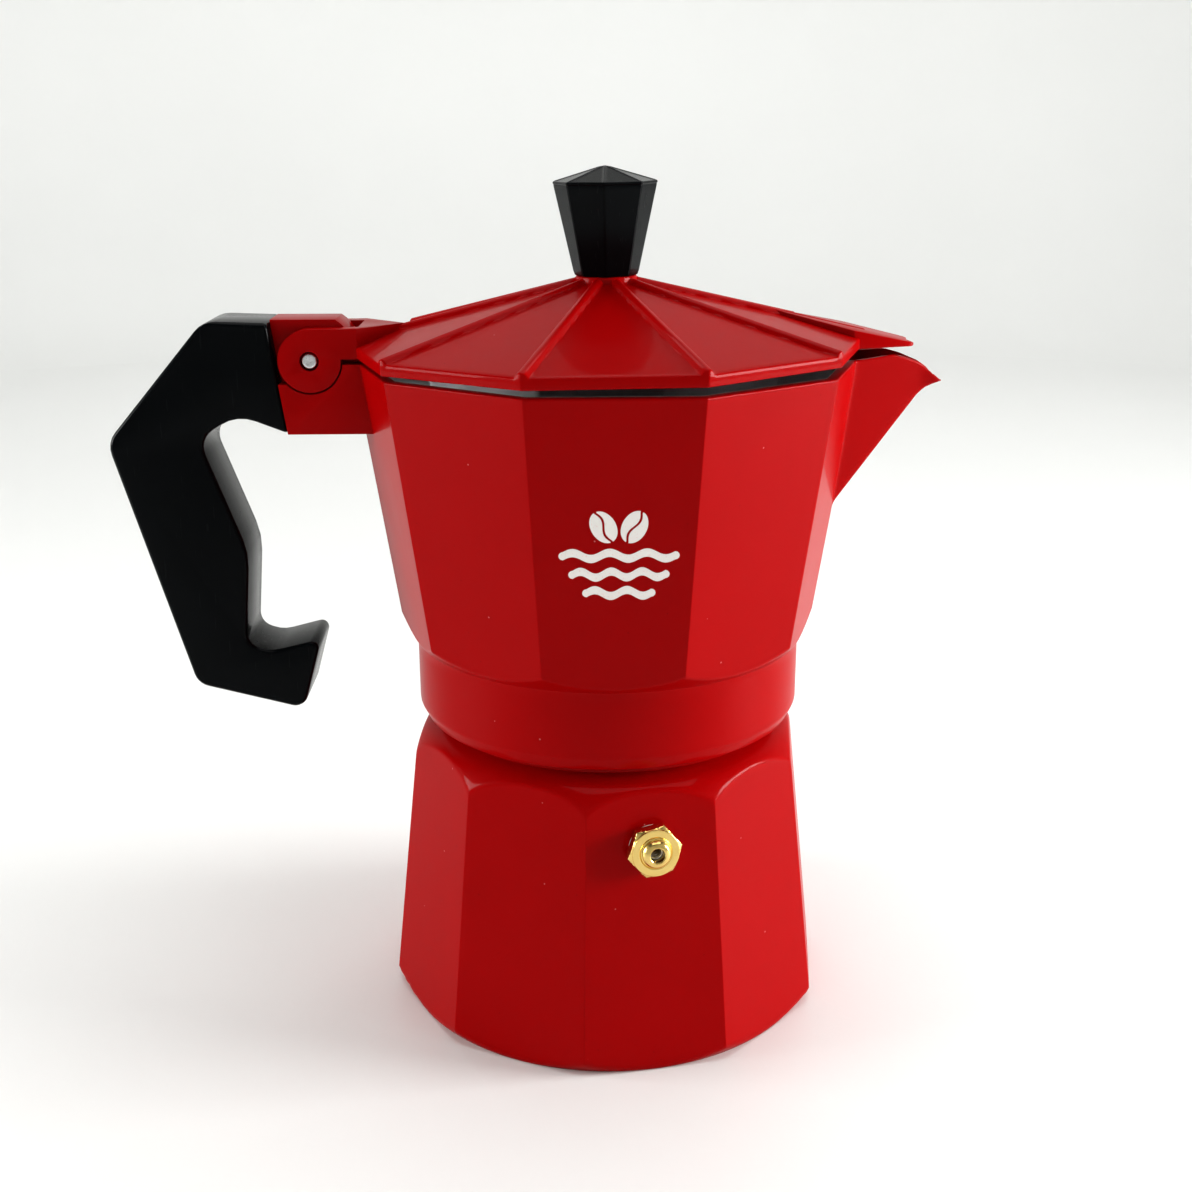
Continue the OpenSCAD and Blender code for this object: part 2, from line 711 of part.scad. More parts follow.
module knob_screw() {
    head_r = knob_screw_r * 1.85;
    head_h = 2.2;
    color("silver") at_lid() difference() {
        union() {
            translate([0, 0, washer_low - head_h]) cylinder(r = head_r, h = head_h);
            translate([0, 0, washer_low - eps])
                cylinder(r = knob_screw_r, h = knob_low + 7 - washer_low);
        }
        for (turn = [0, 90])
            rotate(turn) translate([-head_r * 0.6, -0.45, washer_low - head_h - 1])
                cube([head_r * 1.2, 0.9, 2.2]);
    }
}

module knob_washer() {
    color("lightgray") at_lid()
        ring(knob_screw_r * 2.5, knob_screw_r + 0.2, washer_low, knob_washer_t);
}

// ---- hinge pin and handle ---------------------------------------------------
module hinge_pin() {
    color("silver") bar_y(pin_r, hinge_w - 0.4, pin_x, pin_z);
}

// Handle outline in the middle plane: rows of [x, z, corner radius]
handle_top = bracket_top + 0.1;
handle_low = handle_top - handle_h;
back_x = joint_top_x - handle_reach + 1.3;
handle_rows = [
    [joint_top_x, handle_top - 0.4, 0],
    [joint_top_x - 11.6, handle_top, 5],
    [back_x, handle_top - 22, 4.5],
    [joint_top_x - 17.8, handle_low + 5, 3.5],
    [joint_top_x + 2.4, handle_low - 0.3, 2.5],
    [joint_top_x + 6.4, handle_low + 13.9, 1.4],
    [joint_top_x - 3.4, handle_low + 11.4, 6],
    [joint_top_x - 7.8, handle_low + 13, 4],
    [joint_top_x - 6.2, handle_low + 31, 14],
    [joint_top_x - 13.9, handle_top - 21.5, 4],
    [joint_top_x - 6.6, handle_top - 17, 7],
    [joint_low_x, bracket_low - 0.1, 0]
];

module handle() {
    head_x = joint_top_x - 11;
    color([0.06, 0.06, 0.07]) difference() {
        plate_y(handle_w, rounded(handle_rows));
        translate([joint_top_x - tang_reach + 2 - play, -tang_w / 2 - play,
                   handle_screw_z - 3.4 - play])
            cube([tang_reach + 12, tang_w + 2 * play, 12 + 2 * play]);
        bar_x(handle_screw_r + 0.3, head_x - 2, pin_x, handle_screw_z);
        bar_x(handle_screw_r * 2 + 0.3, joint_top_x - 60, head_x, handle_screw_z);
    }
}

module handle_washer() {
    head_x = joint_top_x - 11;
    color("lightgray") difference() {
        bar_x(handle_screw_r * 2, head_x - 0.7, head_x, handle_screw_z);
        bar_x(handle_screw_r + 0.15, head_x - 2, head_x + 1, handle_screw_z);
    }
}

module handle_screw() {
    head_x = joint_top_x - 11 - 0.7;
    head_r = handle_screw_r * 1.8;
    color("silver") difference() {
        union() {
            bar_x(head_r, head_x - 2.4, head_x, handle_screw_z);
            bar_x(handle_screw_r, head_x - eps, pin_x + 4, handle_screw_z);
        }
        for (tall = [false, true])
            translate([head_x - 3, -(tall ? 0.45 : head_r * 0.6),
                       handle_screw_z - (tall ? head_r * 0.6 : 0.45)])
                cube([2, tall ? 0.9 : head_r * 1.2, tall ? head_r * 1.2 : 0.9]);
    }
}

boiler();
valve_washer();
valve_body();
valve_seat();
valve_ball();
valve_spring();
funnel();
funnel_stem();
funnel_sieve();
gasket();
upper_filter();
collector();
coffee_column();
lid();
lid_knob();
knob_insert();
knob_screw();
knob_washer();
hinge_pin();
handle();
handle_screw();
handle_washer();
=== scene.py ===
"""The looks of a stove-top coffee maker: lacquered shells, plastic grips and turned fittings,
set round the frame. Lengths are millimetres, and MM turns them into metres where a mesh, lamp
or camera is made."""
import json
import math

import bmesh
import bpy
import numpy as np
from mathutils import Matrix, Vector


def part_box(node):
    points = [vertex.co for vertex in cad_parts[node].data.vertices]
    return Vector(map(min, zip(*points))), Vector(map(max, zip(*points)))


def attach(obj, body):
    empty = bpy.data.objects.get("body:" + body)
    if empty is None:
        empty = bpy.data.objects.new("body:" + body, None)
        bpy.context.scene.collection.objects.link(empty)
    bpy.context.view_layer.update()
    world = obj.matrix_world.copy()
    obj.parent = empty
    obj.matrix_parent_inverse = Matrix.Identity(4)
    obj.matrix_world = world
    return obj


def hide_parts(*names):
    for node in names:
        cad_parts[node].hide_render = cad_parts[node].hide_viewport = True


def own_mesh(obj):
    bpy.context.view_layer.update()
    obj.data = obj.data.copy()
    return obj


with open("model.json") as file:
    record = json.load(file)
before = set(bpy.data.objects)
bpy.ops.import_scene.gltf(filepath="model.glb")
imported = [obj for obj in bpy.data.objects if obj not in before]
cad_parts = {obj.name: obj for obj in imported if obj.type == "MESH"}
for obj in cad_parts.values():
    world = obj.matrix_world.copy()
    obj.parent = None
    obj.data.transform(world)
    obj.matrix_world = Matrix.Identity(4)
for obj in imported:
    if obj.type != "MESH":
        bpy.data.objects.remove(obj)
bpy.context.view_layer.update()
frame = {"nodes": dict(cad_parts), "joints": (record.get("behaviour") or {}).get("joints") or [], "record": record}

MM = 0.001
SIDES = 10


# ---- shader arithmetic ------------------------------------------------------
class Value:
    """One output of a finish's nodes, which ordinary arithmetic works on."""

    def __init__(self, finish, link):
        self.finish = finish
        self.link = link

    def maths(self, operation, *terms):
        sockets = dict(enumerate(terms))
        return self.finish.add("ShaderNodeMath", {"operation": operation}, sockets)

    def __add__(self, other):
        return self.maths("ADD", self, other)

    def __rsub__(self, other):
        return self.maths("SUBTRACT", other, self)

    def __mul__(self, other):
        return self.maths("MULTIPLY", self, other)

    __radd__ = __add__

    def step(self, low, high):
        """0 below low, 1 above high and a soft slope between them."""
        return self.finish.add("ShaderNodeMapRange", {"interpolation_type": "SMOOTHSTEP"},
                               {"Value": self, "From Min": low, "From Max": high})


class Finish:
    """A material under construction."""

    def __init__(self, name):
        self.material = bpy.data.materials.new(name)
        self.material.use_nodes = True
        self.tree = self.material.node_tree
        self.tree.nodes.clear()
        self.place = self.add("ShaderNodeTexCoord", {}, {}, "Object")

    def add(self, kind, settings, sockets, output=0):
        """A node of that kind, with its settings and then its sockets' values or links."""
        node = self.tree.nodes.new(kind)
        for key, value in settings.items():
            setattr(node, key, value)
        for key, value in sockets.items():
            if isinstance(value, Value):
                self.tree.links.new(value.link, node.inputs[key])
            else:
                node.inputs[key].default_value = value
        return Value(self, node.outputs[output])

    def noise(self, size_mm, detail=2.0, stretch=(1, 1, 1)):
        """Cloudy noise from 0 to 1, with lumps of that size."""
        placed = self.add("ShaderNodeVectorMath", {"operation": "MULTIPLY"},
                          {0: self.place, 1: stretch})
        return self.add("ShaderNodeTexNoise", {},
                        {"Vector": placed, "Scale": 1 / (size_mm * MM), "Detail": detail})

    def spots(self, spacing_mm, size, soft=0.25):
        """1 in small round spots, about one for each spacing, and 0 between them."""
        away = self.add("ShaderNodeTexVoronoi", {},
                        {"Vector": self.place, "Scale": 1 / (spacing_mm * MM), "Randomness": 1.0},
                        "Distance")
        return 1 - away.step(size * (1 - soft), size)

    def blend(self, share, first, second):
        """The colour first, turned into second where share is 1."""
        return self.add("ShaderNodeMix", {"data_type": "RGBA"}, {0: share, 6: first, 7: second}, 2)

    def bump(self, height, depth_mm, under=None):
        """A surface normal for a height from 0 to 1 that is depth_mm deep."""
        sockets = {"Height": height, "Distance": depth_mm * MM, "Strength": 1.0}
        if under is not None:
            sockets["Normal"] = under
        return self.add("ShaderNodeBump", {}, sockets)

    def done(self, **surface):
        """The finished material, from Principled sockets named with _ for a space."""
        names = {key.replace("_", " "): value for key, value in surface.items()}
        shader = self.add("ShaderNodeBsdfPrincipled", {}, names)
        output = self.tree.nodes.new("ShaderNodeOutputMaterial")
        self.tree.links.new(shader.link, output.inputs["Surface"])
        return self.material


def rgb(r, g, b):
    return (r, g, b, 1.0)


def lacquer():
    """Deep glossy red lacquer over cast metal."""
    f = Finish("red_lacquer")
    cloud = f.noise(14, 3)
    flow = f.noise(2.6, 2)
    grain = f.noise(0.3, 2)
    dust = f.spots(6.5, 0.03)
    # Small round pits: they are bumped in as dents, and their colour is darkened as painted shade inside them.
    pits_with_painted_shade = f.spots(4.1, 0.04)
    colour = f.blend(cloud, rgb(0.31, 0.0002, 0.0008), rgb(0.35, 0.0003, 0.0012))
    # Painted shade: the lacquer goes a darker red inside each pit.
    colour = f.blend(pits_with_painted_shade * 0.5, colour, rgb(0.16, 0.001, 0.002))
    colour = f.blend(dust * 0.45, colour, rgb(0.7, 0.36, 0.36))
    rough = 0.30 + cloud * 0.06 + dust * 0.3
    normal = f.bump(flow, 0.007, f.bump(grain + pits_with_painted_shade * -2.0, 0.0012))
    return f.done(Base_Color=colour, Roughness=rough, Normal=normal, IOR=1.08,
                  Coat_Weight=0.18, Coat_Roughness=0.04, Coat_IOR=1.36)


def bare_aluminium():
    """Cast aluminium as it comes from the mould and the lathe."""
    f = Finish("bare_aluminium")
    cloud = f.noise(9, 4)
    rings = f.noise(0.8, 2, (0.15, 0.15, 1.0))
    colour = f.blend(cloud, rgb(0.44, 0.44, 0.45), rgb(0.57, 0.57, 0.58))
    return f.done(Base_Color=colour, Metallic=1.0, Roughness=0.34 + rings * 0.16,
                  Normal=f.bump(rings, 0.02))


def black_plastic():
    """Moulded phenolic plastic with a polished face."""
    f = Finish("black_plastic")
    cloud = f.noise(11, 3)
    skin = f.noise(0.9, 3)
    scratches = f.noise(0.5, 1, (1, 1, 0.06)).step(0.63, 0.72)
    dust = f.spots(7.0, 0.02)
    colour = f.blend(cloud, rgb(0.0015, 0.002, 0.0025), rgb(0.003, 0.004, 0.005))
    colour = f.blend(dust * 0.35, colour, rgb(0.3, 0.3, 0.31))
    rough = 0.16 + cloud * 0.05 + scratches * 0.1 + dust * 0.3
    return f.done(Base_Color=colour, Roughness=rough, Normal=f.bump(skin, 0.003), IOR=1.18)


def brass():
    """Bright turned brass."""
    f = Finish("brass")
    cloud = f.noise(3, 3)
    grain = f.noise(0.12, 2)
    colour = f.blend(cloud, rgb(0.72, 0.50, 0.16), rgb(0.86, 0.66, 0.26))
    return f.done(Base_Color=colour, Metallic=1.0, Roughness=0.16 + grain * 0.12,
                  Normal=f.bump(grain, 0.003))


def steel():
    """Drawn steel wire and pressed sheet."""
    f = Finish("steel")
    cloud = f.noise(4, 3)
    grain = f.noise(0.2, 2, (1, 0.2, 1))
    colour = f.blend(cloud, rgb(0.55, 0.55, 0.56), rgb(0.72, 0.72, 0.73))
    return f.done(Base_Color=colour, Metallic=1.0, Roughness=0.22 + grain * 0.14,
                  Normal=f.bump(grain, 0.004))


def rubber():
    """Off-white rubber of the ring seal."""
    f = Finish("seal_rubber")
    cloud = f.noise(6, 3)
    colour = f.blend(cloud, rgb(0.70, 0.69, 0.62), rgb(0.80, 0.79, 0.73))
    return f.done(Base_Color=colour, Roughness=0.6 + cloud * 0.12,
                  Normal=f.bump(f.noise(0.5, 3), 0.01))


def fibre():
    """Pressed fibre washer."""
    f = Finish("washer_fibre")
    strands = f.noise(0.4, 4, (1, 1, 0.4))
    colour = f.blend(strands, rgb(0.62, 0.60, 0.56), rgb(0.80, 0.78, 0.74))
    return f.done(Base_Color=colour, Roughness=0.8, Normal=f.bump(strands, 0.02))


def ink():
    """Off-white printing ink, a little thin in places."""
    f = Finish("mark_ink")
    thin = f.noise(0.35, 3).step(0.62, 0.72)
    colour = f.blend(thin * 0.35, rgb(0.86, 0.83, 0.80), rgb(0.80, 0.30, 0.28))
    return f.done(Base_Color=colour, Roughness=0.5 + thin * 0.2,
                  Normal=f.bump(f.noise(0.3, 2), 0.004))


FINISHES = {"red_lacquer": lacquer(), "aluminium": bare_aluminium(),
            "black_plastic": black_plastic(), "brass": brass(), "steel": steel(),
            "rubber": rubber(), "fibre": fibre(), "mark_ink": ink()}

slot_of = {row["node"]: row["material_slot"] for row in frame["record"]["subparts"]}
for name, node in frame["nodes"].items():
    node.data.materials.clear()
    node.data.materials.append(FINISHES[slot_of[name]])


def soften(node, radius, angle=30):
    """Rounds a frame node's sharp edges."""
    weld = node.modifiers.new("weld", "WELD")
    weld.merge_threshold = 0.005 * MM
    flat = node.modifiers.new("flat", "DECIMATE")
    flat.decimate_type = "DISSOLVE"
    flat.angle_limit = math.radians(0.5)
    bevel = node.modifiers.new("bevel", "BEVEL")
    bevel.width = radius * MM
    bevel.segments = 3
    bevel.limit_method = "ANGLE"
    bevel.angle_limit = math.radians(angle)
    bevel.harden_normals = True


EDGE_RADII = {"funnel": 0.2, "funnel_stem": 0.15, "gasket": 0.4, "coffee_column": 0.3,
              "knob_screw": 0.15, "knob_washer": 0.1, "knob_insert": 0.15, "handle_screw": 0.2,
              "handle_washer": 0.12, "valve_washer": 0.1, "valve_seat": 0.1}
for name, radius in EDGE_RADII.items():
    soften(frame["nodes"][name], radius)


# ---- shapes made of rings of points ----------------------------------------------
def low_of(node):
    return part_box(node)[0] / MM


def high_of(node):
    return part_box(node)[1] / MM


def joint_of(name):
    return next(j for j in frame["joints"] if j["name"] == name)


def soft_min(a, b, blend):
    """The smaller of two lengths, with a rounded change from one to the other."""
    near = np.maximum(blend - np.abs(a - b), 0) / blend
    return np.minimum(a, b) - near * near * blend / 4


def soft_max(a, b, blend):
    """The larger of two lengths, with a rounded change from one to the other."""
    return -soft_min(-np.asarray(a), -np.asarray(b), blend)


def from_corner(directions, count, turn=0.0):
    """Angle between each direction and the nearest corner of a shape with that many flats."""
    pitch = 2 * math.pi / count
    return (directions - turn + pitch / 2) % pitch - pitch / 2


def flats(directions, corner_r, rounding, count=SIDES, turn=0.0):
    """How far a flat-sided outline reaches in each direction. Its corners are rounded."""
    half = math.pi / count
    away = np.abs(from_corner(directions, count, turn))
    flat_r = corner_r * math.cos(half)
    centre = (flat_r - rounding) / math.cos(half)
    contact = np.arctan2(rounding * math.sin(half), centre + rounding * math.cos(half))
    aside = centre * np.sin(away)
    arc = centre * np.cos(away) + np.sqrt(np.maximum(rounding ** 2 - aside ** 2, 0))
    return np.where(away < contact, arc, flat_r / np.cos(half - away))


def directions_round(count=SIDES, turn=0.0, extra=()):
    """Directions round the axis, close together at the corners of a flat-sided shape."""
    steps = [0, 0.1, 0.2, 0.3, 0.42, 0.56, 0.72, 0.9, 1.1, 1.35, 1.65, 2, 2.5, 3.1, 3.9, 4.9, 6.1,
             7.5, 9, 10.6, 12.4, 14.2, 16.1]
    scale = (180 / count) / 18
    half = [s * (scale if s > 3 else 1) for s in steps]
    one = half + [360 / count - s for s in half if s > 0] + [180 / count]
    every = [360 / count * i + math.degrees(turn) + s for i in range(count) for s in one]
    every += list(extra)
    return np.radians(np.unique(np.round(np.mod(every, 360), 4)))


def traced(rows, step):
    """A turned outline through rows of [r, z, corner radius], as points at most a step apart."""
    points = []
    rows = [np.array(row[:2] + [row[2] if len(row) > 2 else 0], float) for row in map(list, rows)]
    for i, row in enumerate(rows):
        here, radius = row[:2], row[2]
        if radius and 0 < i < len(rows) - 1:
            back, ahead = rows[i - 1][:2] - here, rows[i + 1][:2] - here
            back_length, ahead_length = np.linalg.norm(back), np.linalg.norm(ahead)
            back, ahead = back / back_length, ahead / ahead_length
            half = math.acos(np.clip(back @ ahead, -1, 1)) / 2
            run = min(radius / math.tan(half), 0.49 * back_length, 0.49 * ahead_length)
            radius = run * math.tan(half)
            centre = here + (back + ahead) / np.linalg.norm(back + ahead) * radius / math.sin(half)
            first, last = here + back * run - centre, here + ahead * run - centre
            sweep = math.pi - 2 * half
            count = max(2, math.ceil(sweep / math.radians(15)))
            for k in range(count + 1):
                share = k / count
                mix = (math.sin((1 - share) * sweep) * first + math.sin(share * sweep) * last)
                points.append(centre + mix / math.sin(sweep))
        else:
            points.append(here)
    dense = [points[0]]
    for start, end in zip(points, points[1:]):
        count = max(1, math.ceil(np.linalg.norm(end - start) / step - 1e-6))
        dense += [start + (end - start) * k / count for k in range(1, count + 1)]
    return np.array(dense)


def rings_object(name, around, up, directions, closed=False, finishes=("red_lacquer",),
                 finish_of_row=None):
    """An object from rings of points: around and up hold each point's radius and height."""
    rows, columns = around.shape
    x, y = around * np.cos(directions), around * np.sin(directions)
    points = np.stack([x, y, up], axis=-1).reshape(-1, 3) * MM
    index = np.arange(rows * columns).reshape(rows, columns)
    below = index if closed else index[:-1]
    above = np.roll(index, -1, axis=0) if closed else index[1:]
    quads = np.stack([below, np.roll(below, -1, 1), np.roll(above, -1, 1), above], axis=-1)
    data = bpy.data.meshes.new(name)
    data.from_pydata(points.tolist(), [], quads.reshape(-1, 4).tolist())
    if finish_of_row is not None:
        kinds = np.repeat(np.asarray(finish_of_row)[: len(below)], columns).astype(np.int32)
        data.polygons.foreach_set("material_index", kinds)
    return placed(name, data, finishes)


def placed(name, data, finishes):
    """Puts a mesh in the scene as a closed, smooth piece."""
    mesh = bmesh.new()
    mesh.from_mesh(data)
    bmesh.ops.remove_doubles(mesh, verts=mesh.verts, dist=0.0005 * MM)
    bmesh.ops.recalc_face_normals(mesh, faces=mesh.faces)
    mesh.to_mesh(data)
    mesh.free()
    data.polygons.foreach_set("use_smooth", np.ones(len(data.polygons), bool))
    data.set_sharp_from_angle(angle=math.radians(38))
    for finish in finishes:
        data.materials.append(FINISHES[finish])
    piece = bpy.data.objects.new(name, data)
    bpy.context.scene.collection.objects.link(piece)
    return piece


# ---- boiler -------------------------------------------------------------------
neck_top = high_of("boiler").z
foot_corner_r = 44.0
corner_z = 50.3
neck_r = 32.4
shoulder_r = neck_r + 5.9
valve_turn = math.radians(-79.3)
foot_r = 41.4
floor_t = 3.0
neck_bare_z = 58.3


def boiler_corner_r(z):
    """How far the boiler's ten corners reach at a height."""
    return foot_corner_r + (shoulder_r - foot_corner_r) * z / corner_z


def boiler_shell():
    """The lacquered boiler, bare inside and round its threaded neck."""
    curve = 9.9
    centre = (shoulder_r - 9.2, corner_z - 3.7)
    turn = valve_turn - math.pi / SIDES
    directions = directions_round(turn=turn)
    shoulder = [[centre[0] + curve * math.cos(a), centre[1] + curve * math.sin(a)]
                for a in np.radians(np.arange(1.5, 73, 1.5))]
    neck_join = centre[1] + math.sqrt(curve ** 2 - (neck_r - centre[0]) ** 2)
    cavity_foot = foot_r - 3.2
    cavity_top = shoulder_r * math.cos(math.pi / SIDES) - 2.2
    bore = neck_r - 2.8
    wide = centre[0] + curve
    outside = traced([[0, 0], [foot_r - 7.1, 0, 0.3], [foot_r - 6.8, 0.6, 0.3],
                      [foot_r - 4.2, 0.6, 0.3], [foot_r - 3.9, 0, 0.3], [foot_r, 0, 0.5],
                      [foot_r + 4.4, 5.1], [wide + 24, 6.0], [wide + 0.6, centre[1] - 1.0],
                      [wide, centre[1]]], 1.0)
    lower = outside[outside[:, 1] <= 5.1 + 1e-6]
    straight = traced([[0, 5.3], [0, centre[1]]], 1.4)
    straight[:, 0] = wide + (centre[1] - straight[:, 1]) * 0.6
    top = traced([[neck_r + 0.02, neck_join + 0.25], [neck_r, neck_join + 1],
                  [neck_r, neck_top, 0.5], [bore, neck_top, 0.5], [bore, corner_z + 1.6, 1.5],
                  [cavity_top - 1, corner_z - 1.2, 1.5], [cavity_top, corner_z - 4.5, 1.5],
                  [cavity_foot, floor_t + 4, 4], [cavity_foot - 4, floor_t, 4], [0, floor_t]], 1.6)
    shoulder = np.array([p for p in shoulder if p[0] > neck_r])
    rows = np.concatenate([lower, straight, shoulder, top])
    outer_count = len(lower) + len(straight) + len(shoulder)
    around = np.repeat(rows[:, :1], len(directions), axis=1)
    up = np.repeat(rows[:, 1:], len(directions), axis=1)
    for i in range(outer_count):
        r, z = rows[i]
        if r > neck_r:
            flat_reach = flats(directions, boiler_corner_r(z), 0.45, turn=turn)
            around[i] = soft_min(r, flat_reach, 0.35)
    order = np.arange(len(rows))
    inside = order > np.argmax(rows[:, 1])
    lined = inside | ((order >= outer_count) & (rows[:, 1] > neck_bare_z))
    shell = rings_object("boiler_shell", around, up, directions,
                         finishes=("red_lacquer", "aluminium"), finish_of_row=lined)
    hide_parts("boiler")
    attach(shell, "boiler")


boiler_shell()


# ---- jug ----------------------------------------------------------------------
skirt_low = low_of("collector").z
skirt_h = 15.0
skirt_top = skirt_low + skirt_h
skirt_r = 36.9
skirt_bore = 34.9
jug_h = 52.9
rim_z = skirt_top + jug_h
pin_x, pin_z = (Vector(joint_of("lid_hinge")["pos_m"]) / MM).xz
pin_out = 6.5
rim_r = -pin_x - pin_out
jug_foot_r = skirt_r + 3.2
jug_foot_z = skirt_top + 3.2
jug_wall = 2.2 / math.cos(math.pi / SIDES)
jug_floor_t = 2.9
filter_gap = 0.7
floor_top = high_of("upper_filter").z + filter_gap + jug_floor_t
floor_low = floor_top - jug_floor_t
tip_x = high_of("collector").x
tip_z = rim_z - 4.7
flick_x = tip_x - 5.06
flick_z = rim_z - 7.4


def jug_r(z):
    """How far the jug's ten corners reach at a height."""
    return jug_foot_r + (rim_r - jug_foot_r) * (z - jug_foot_z) / (rim_z - jug_foot_z)


spout_drop = 28.7
spout_half_w = 7.2
spout_wall = 1.7
spout_back = rim_r - 2.3
root_z = rim_z - spout_drop
root_x = jug_r(root_z) - 0.3
RIDGE = np.array([[root_x, root_z], [flick_x, flick_z], [flick_x + 1.3, flick_z + 1.25],
                  [flick_x + 2.8, tip_z - 0.75], [tip_x, tip_z]])
BRIM = np.array([[spout_back, rim_z], [rim_r + 5, rim_z + 0.7], [rim_r + 7.5, rim_z + 0.1],
                 [flick_x, rim_z - 1.2], [flick_x + 2.8, rim_z - 2.9], [tip_x, tip_z + 0.1]])
ridge_slope = (flick_z - root_z) / (flick_x - root_x)


def ridge_z(x):
    """Height of the spout's lower ridge."""
    return np.where(x < root_x, root_z - ridge_slope * (root_x - x),
                    np.interp(x, RIDGE[:, 0], RIDGE[:, 1]))


spout_flare = spout_half_w / (rim_z - float(ridge_z(spout_back)))
wall_lift = spout_wall / spout_flare
LIFT = np.array([[rim_r - 12, 1], [rim_r + 2, 0.9], [rim_r + 7.5, 0.6], [flick_x, 0.36],
                 [flick_x + 2.8, 0.2], [tip_x + 3, 0.14]]) * [1, wall_lift]


def spout_r(directions, z, channel=False):
    """How far the spout's outside, or its channel, reaches in each direction at a height."""
    low, high = np.zeros_like(directions), np.full_like(directions, 90.0)
    ahead = np.cos(directions) > 0.5
    for _ in range(40):
        middle = (low + high) / 2
        x, y = middle * np.cos(directions), np.abs(middle * np.sin(directions))
        lift = np.interp(x, LIFT[:, 0], LIFT[:, 1]) if channel else 0
        past = np.hypot(y, 0.35) - 0.35 > spout_flare * (z - ridge_z(x) - lift)
        high, low = np.where(past, middle, high), np.where(past, low, middle)
    return np.where(ahead, low, 0)


def jug_outer(directions, z, turned_r=2 * rim_r):
    """How far the jug's outside reaches, with its spout."""
    body = soft_min(turned_r, flats(directions, jug_r(z), 0.45), 0.4)
    return soft_max(body, spout_r(directions, z), 0.5)


def jug_inner(directions, z):
    """How far the jug's inside reaches, with the spout's channel."""
    body = flats(directions, jug_r(z) - jug_wall, 1.6)
    return soft_max(body, spout_r(directions, z, True), 1.0)


def brim_height(directions, reach):
    """Height of the brim in each direction, on the surface that reach gives."""
    low, high = np.full_like(directions, tip_z - 3), np.full_like(directions, rim_z + 1)
    for _ in range(24):
        middle = (low + high) / 2
        ahead = reach(directions, middle) * np.cos(directions)
        above = middle > np.interp(ahead, BRIM[:, 0], BRIM[:, 1])
        high, low = np.where(above, middle, high), np.where(above, low, middle)
    return low


def jug_shell():
    """The lacquered jug with its skirt and spout, bare inside."""
    directions = directions_round(extra=np.arange(-12, 12.01, 0.3))
    outer_top = brim_height(directions, jug_outer)
    inner_top = brim_height(directions, jug_inner)
    split = rim_z - 12
    around, up, lined = [], [], []

    def add(reach, height, inside):
        around.append(reach + np.zeros_like(directions))
        up.append(height + np.zeros_like(directions))
        lined.append(inside)

    def stretched(z, top):
        return z if z <= split else split + (z - split) * (top - split) / (rim_z - split)

    skirt = traced([[skirt_bore, skirt_low, 0.5], [skirt_r - 1.3, skirt_low, 0.5],
                    [skirt_r, skirt_low + 2.6, 1.5], [skirt_r, skirt_top - 0.15]], 1.5)
    for r, z in skirt:
        add(r, z, False)
    add(skirt_r + 0.05, skirt_top - 0.02, False)
    slope = np.concatenate([np.arange(0.12, 4.4, 0.14), [5.0, 6.0, 8.0]])
    for rise in slope:
        add(jug_outer(directions, skirt_top + rise, skirt_r + rise), skirt_top + rise, False)
    heights = np.concatenate([np.arange(skirt_top + 10, root_z - 1.5, 2.0),
                              np.arange(root_z - 1.5, root_z + 6, 0.4),
                              np.arange(root_z + 6, rim_z - 0.3, 0.8)])
    round_lip = 0.3
    for z in heights:
        height = stretched(z, outer_top - round_lip)
        add(jug_outer(directions, height), height, False)
    edge = jug_outer(directions, outer_top - round_lip)
    for a in np.radians([0, 30, 60, 90]):
        add(edge - round_lip * (1 - math.cos(a)),
            outer_top - round_lip * (1 - math.sin(a)), False)
    inner_edge = jug_inner(directions, inner_top - round_lip)
    for a in np.radians([90, 60, 30, 0]):
        add(inner_edge + round_lip * (1 - math.cos(a)),
            inner_top - round_lip * (1 - math.sin(a)), False)
    bend = 3.0
    lacquered = 1.6
    for z in heights[::-1]:
        if z > floor_top + bend:
            height = stretched(z, inner_top - round_lip)
            add(jug_inner(directions, height), height, z < rim_z - lacquered)
    foot = jug_inner(directions, floor_top + bend)
    for a in np.radians(np.arange(0, 91, 15)):
        add(foot - bend * (1 - math.cos(a)), floor_top + bend * (1 - math.sin(a)), True)
    foot = foot - bend
    seat_r = 5.2
    for share in (0.8, 0.6, 0.4, 0.2, 0.0):
        add(seat_r + (foot - seat_r) * share, floor_top, True)
    filter_r = high_of("upper_filter").x
    gasket_top = high_of("gasket").z
    under = traced([[seat_r, floor_low], [filter_r - 1.5, floor_low, 0.2],
                    [filter_r - 1.5, floor_low - 0.7, 0.2], [filter_r + 0.2, floor_low - 0.7, 0.2],
                    [filter_r + 0.2, gasket_top, 0.2], [skirt_bore, gasket_top, 0.4],
                    [skirt_bore, skirt_low + 0.6]], 2.0)
    for r, z in under:
        add(r, z, True)
    shell = rings_object("jug_shell", np.array(around), np.array(up), directions, closed=True,
                         finishes=("red_lacquer", "aluminium"), finish_of_row=lined)
    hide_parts("collector")
    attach(shell, "collector")


jug_shell()


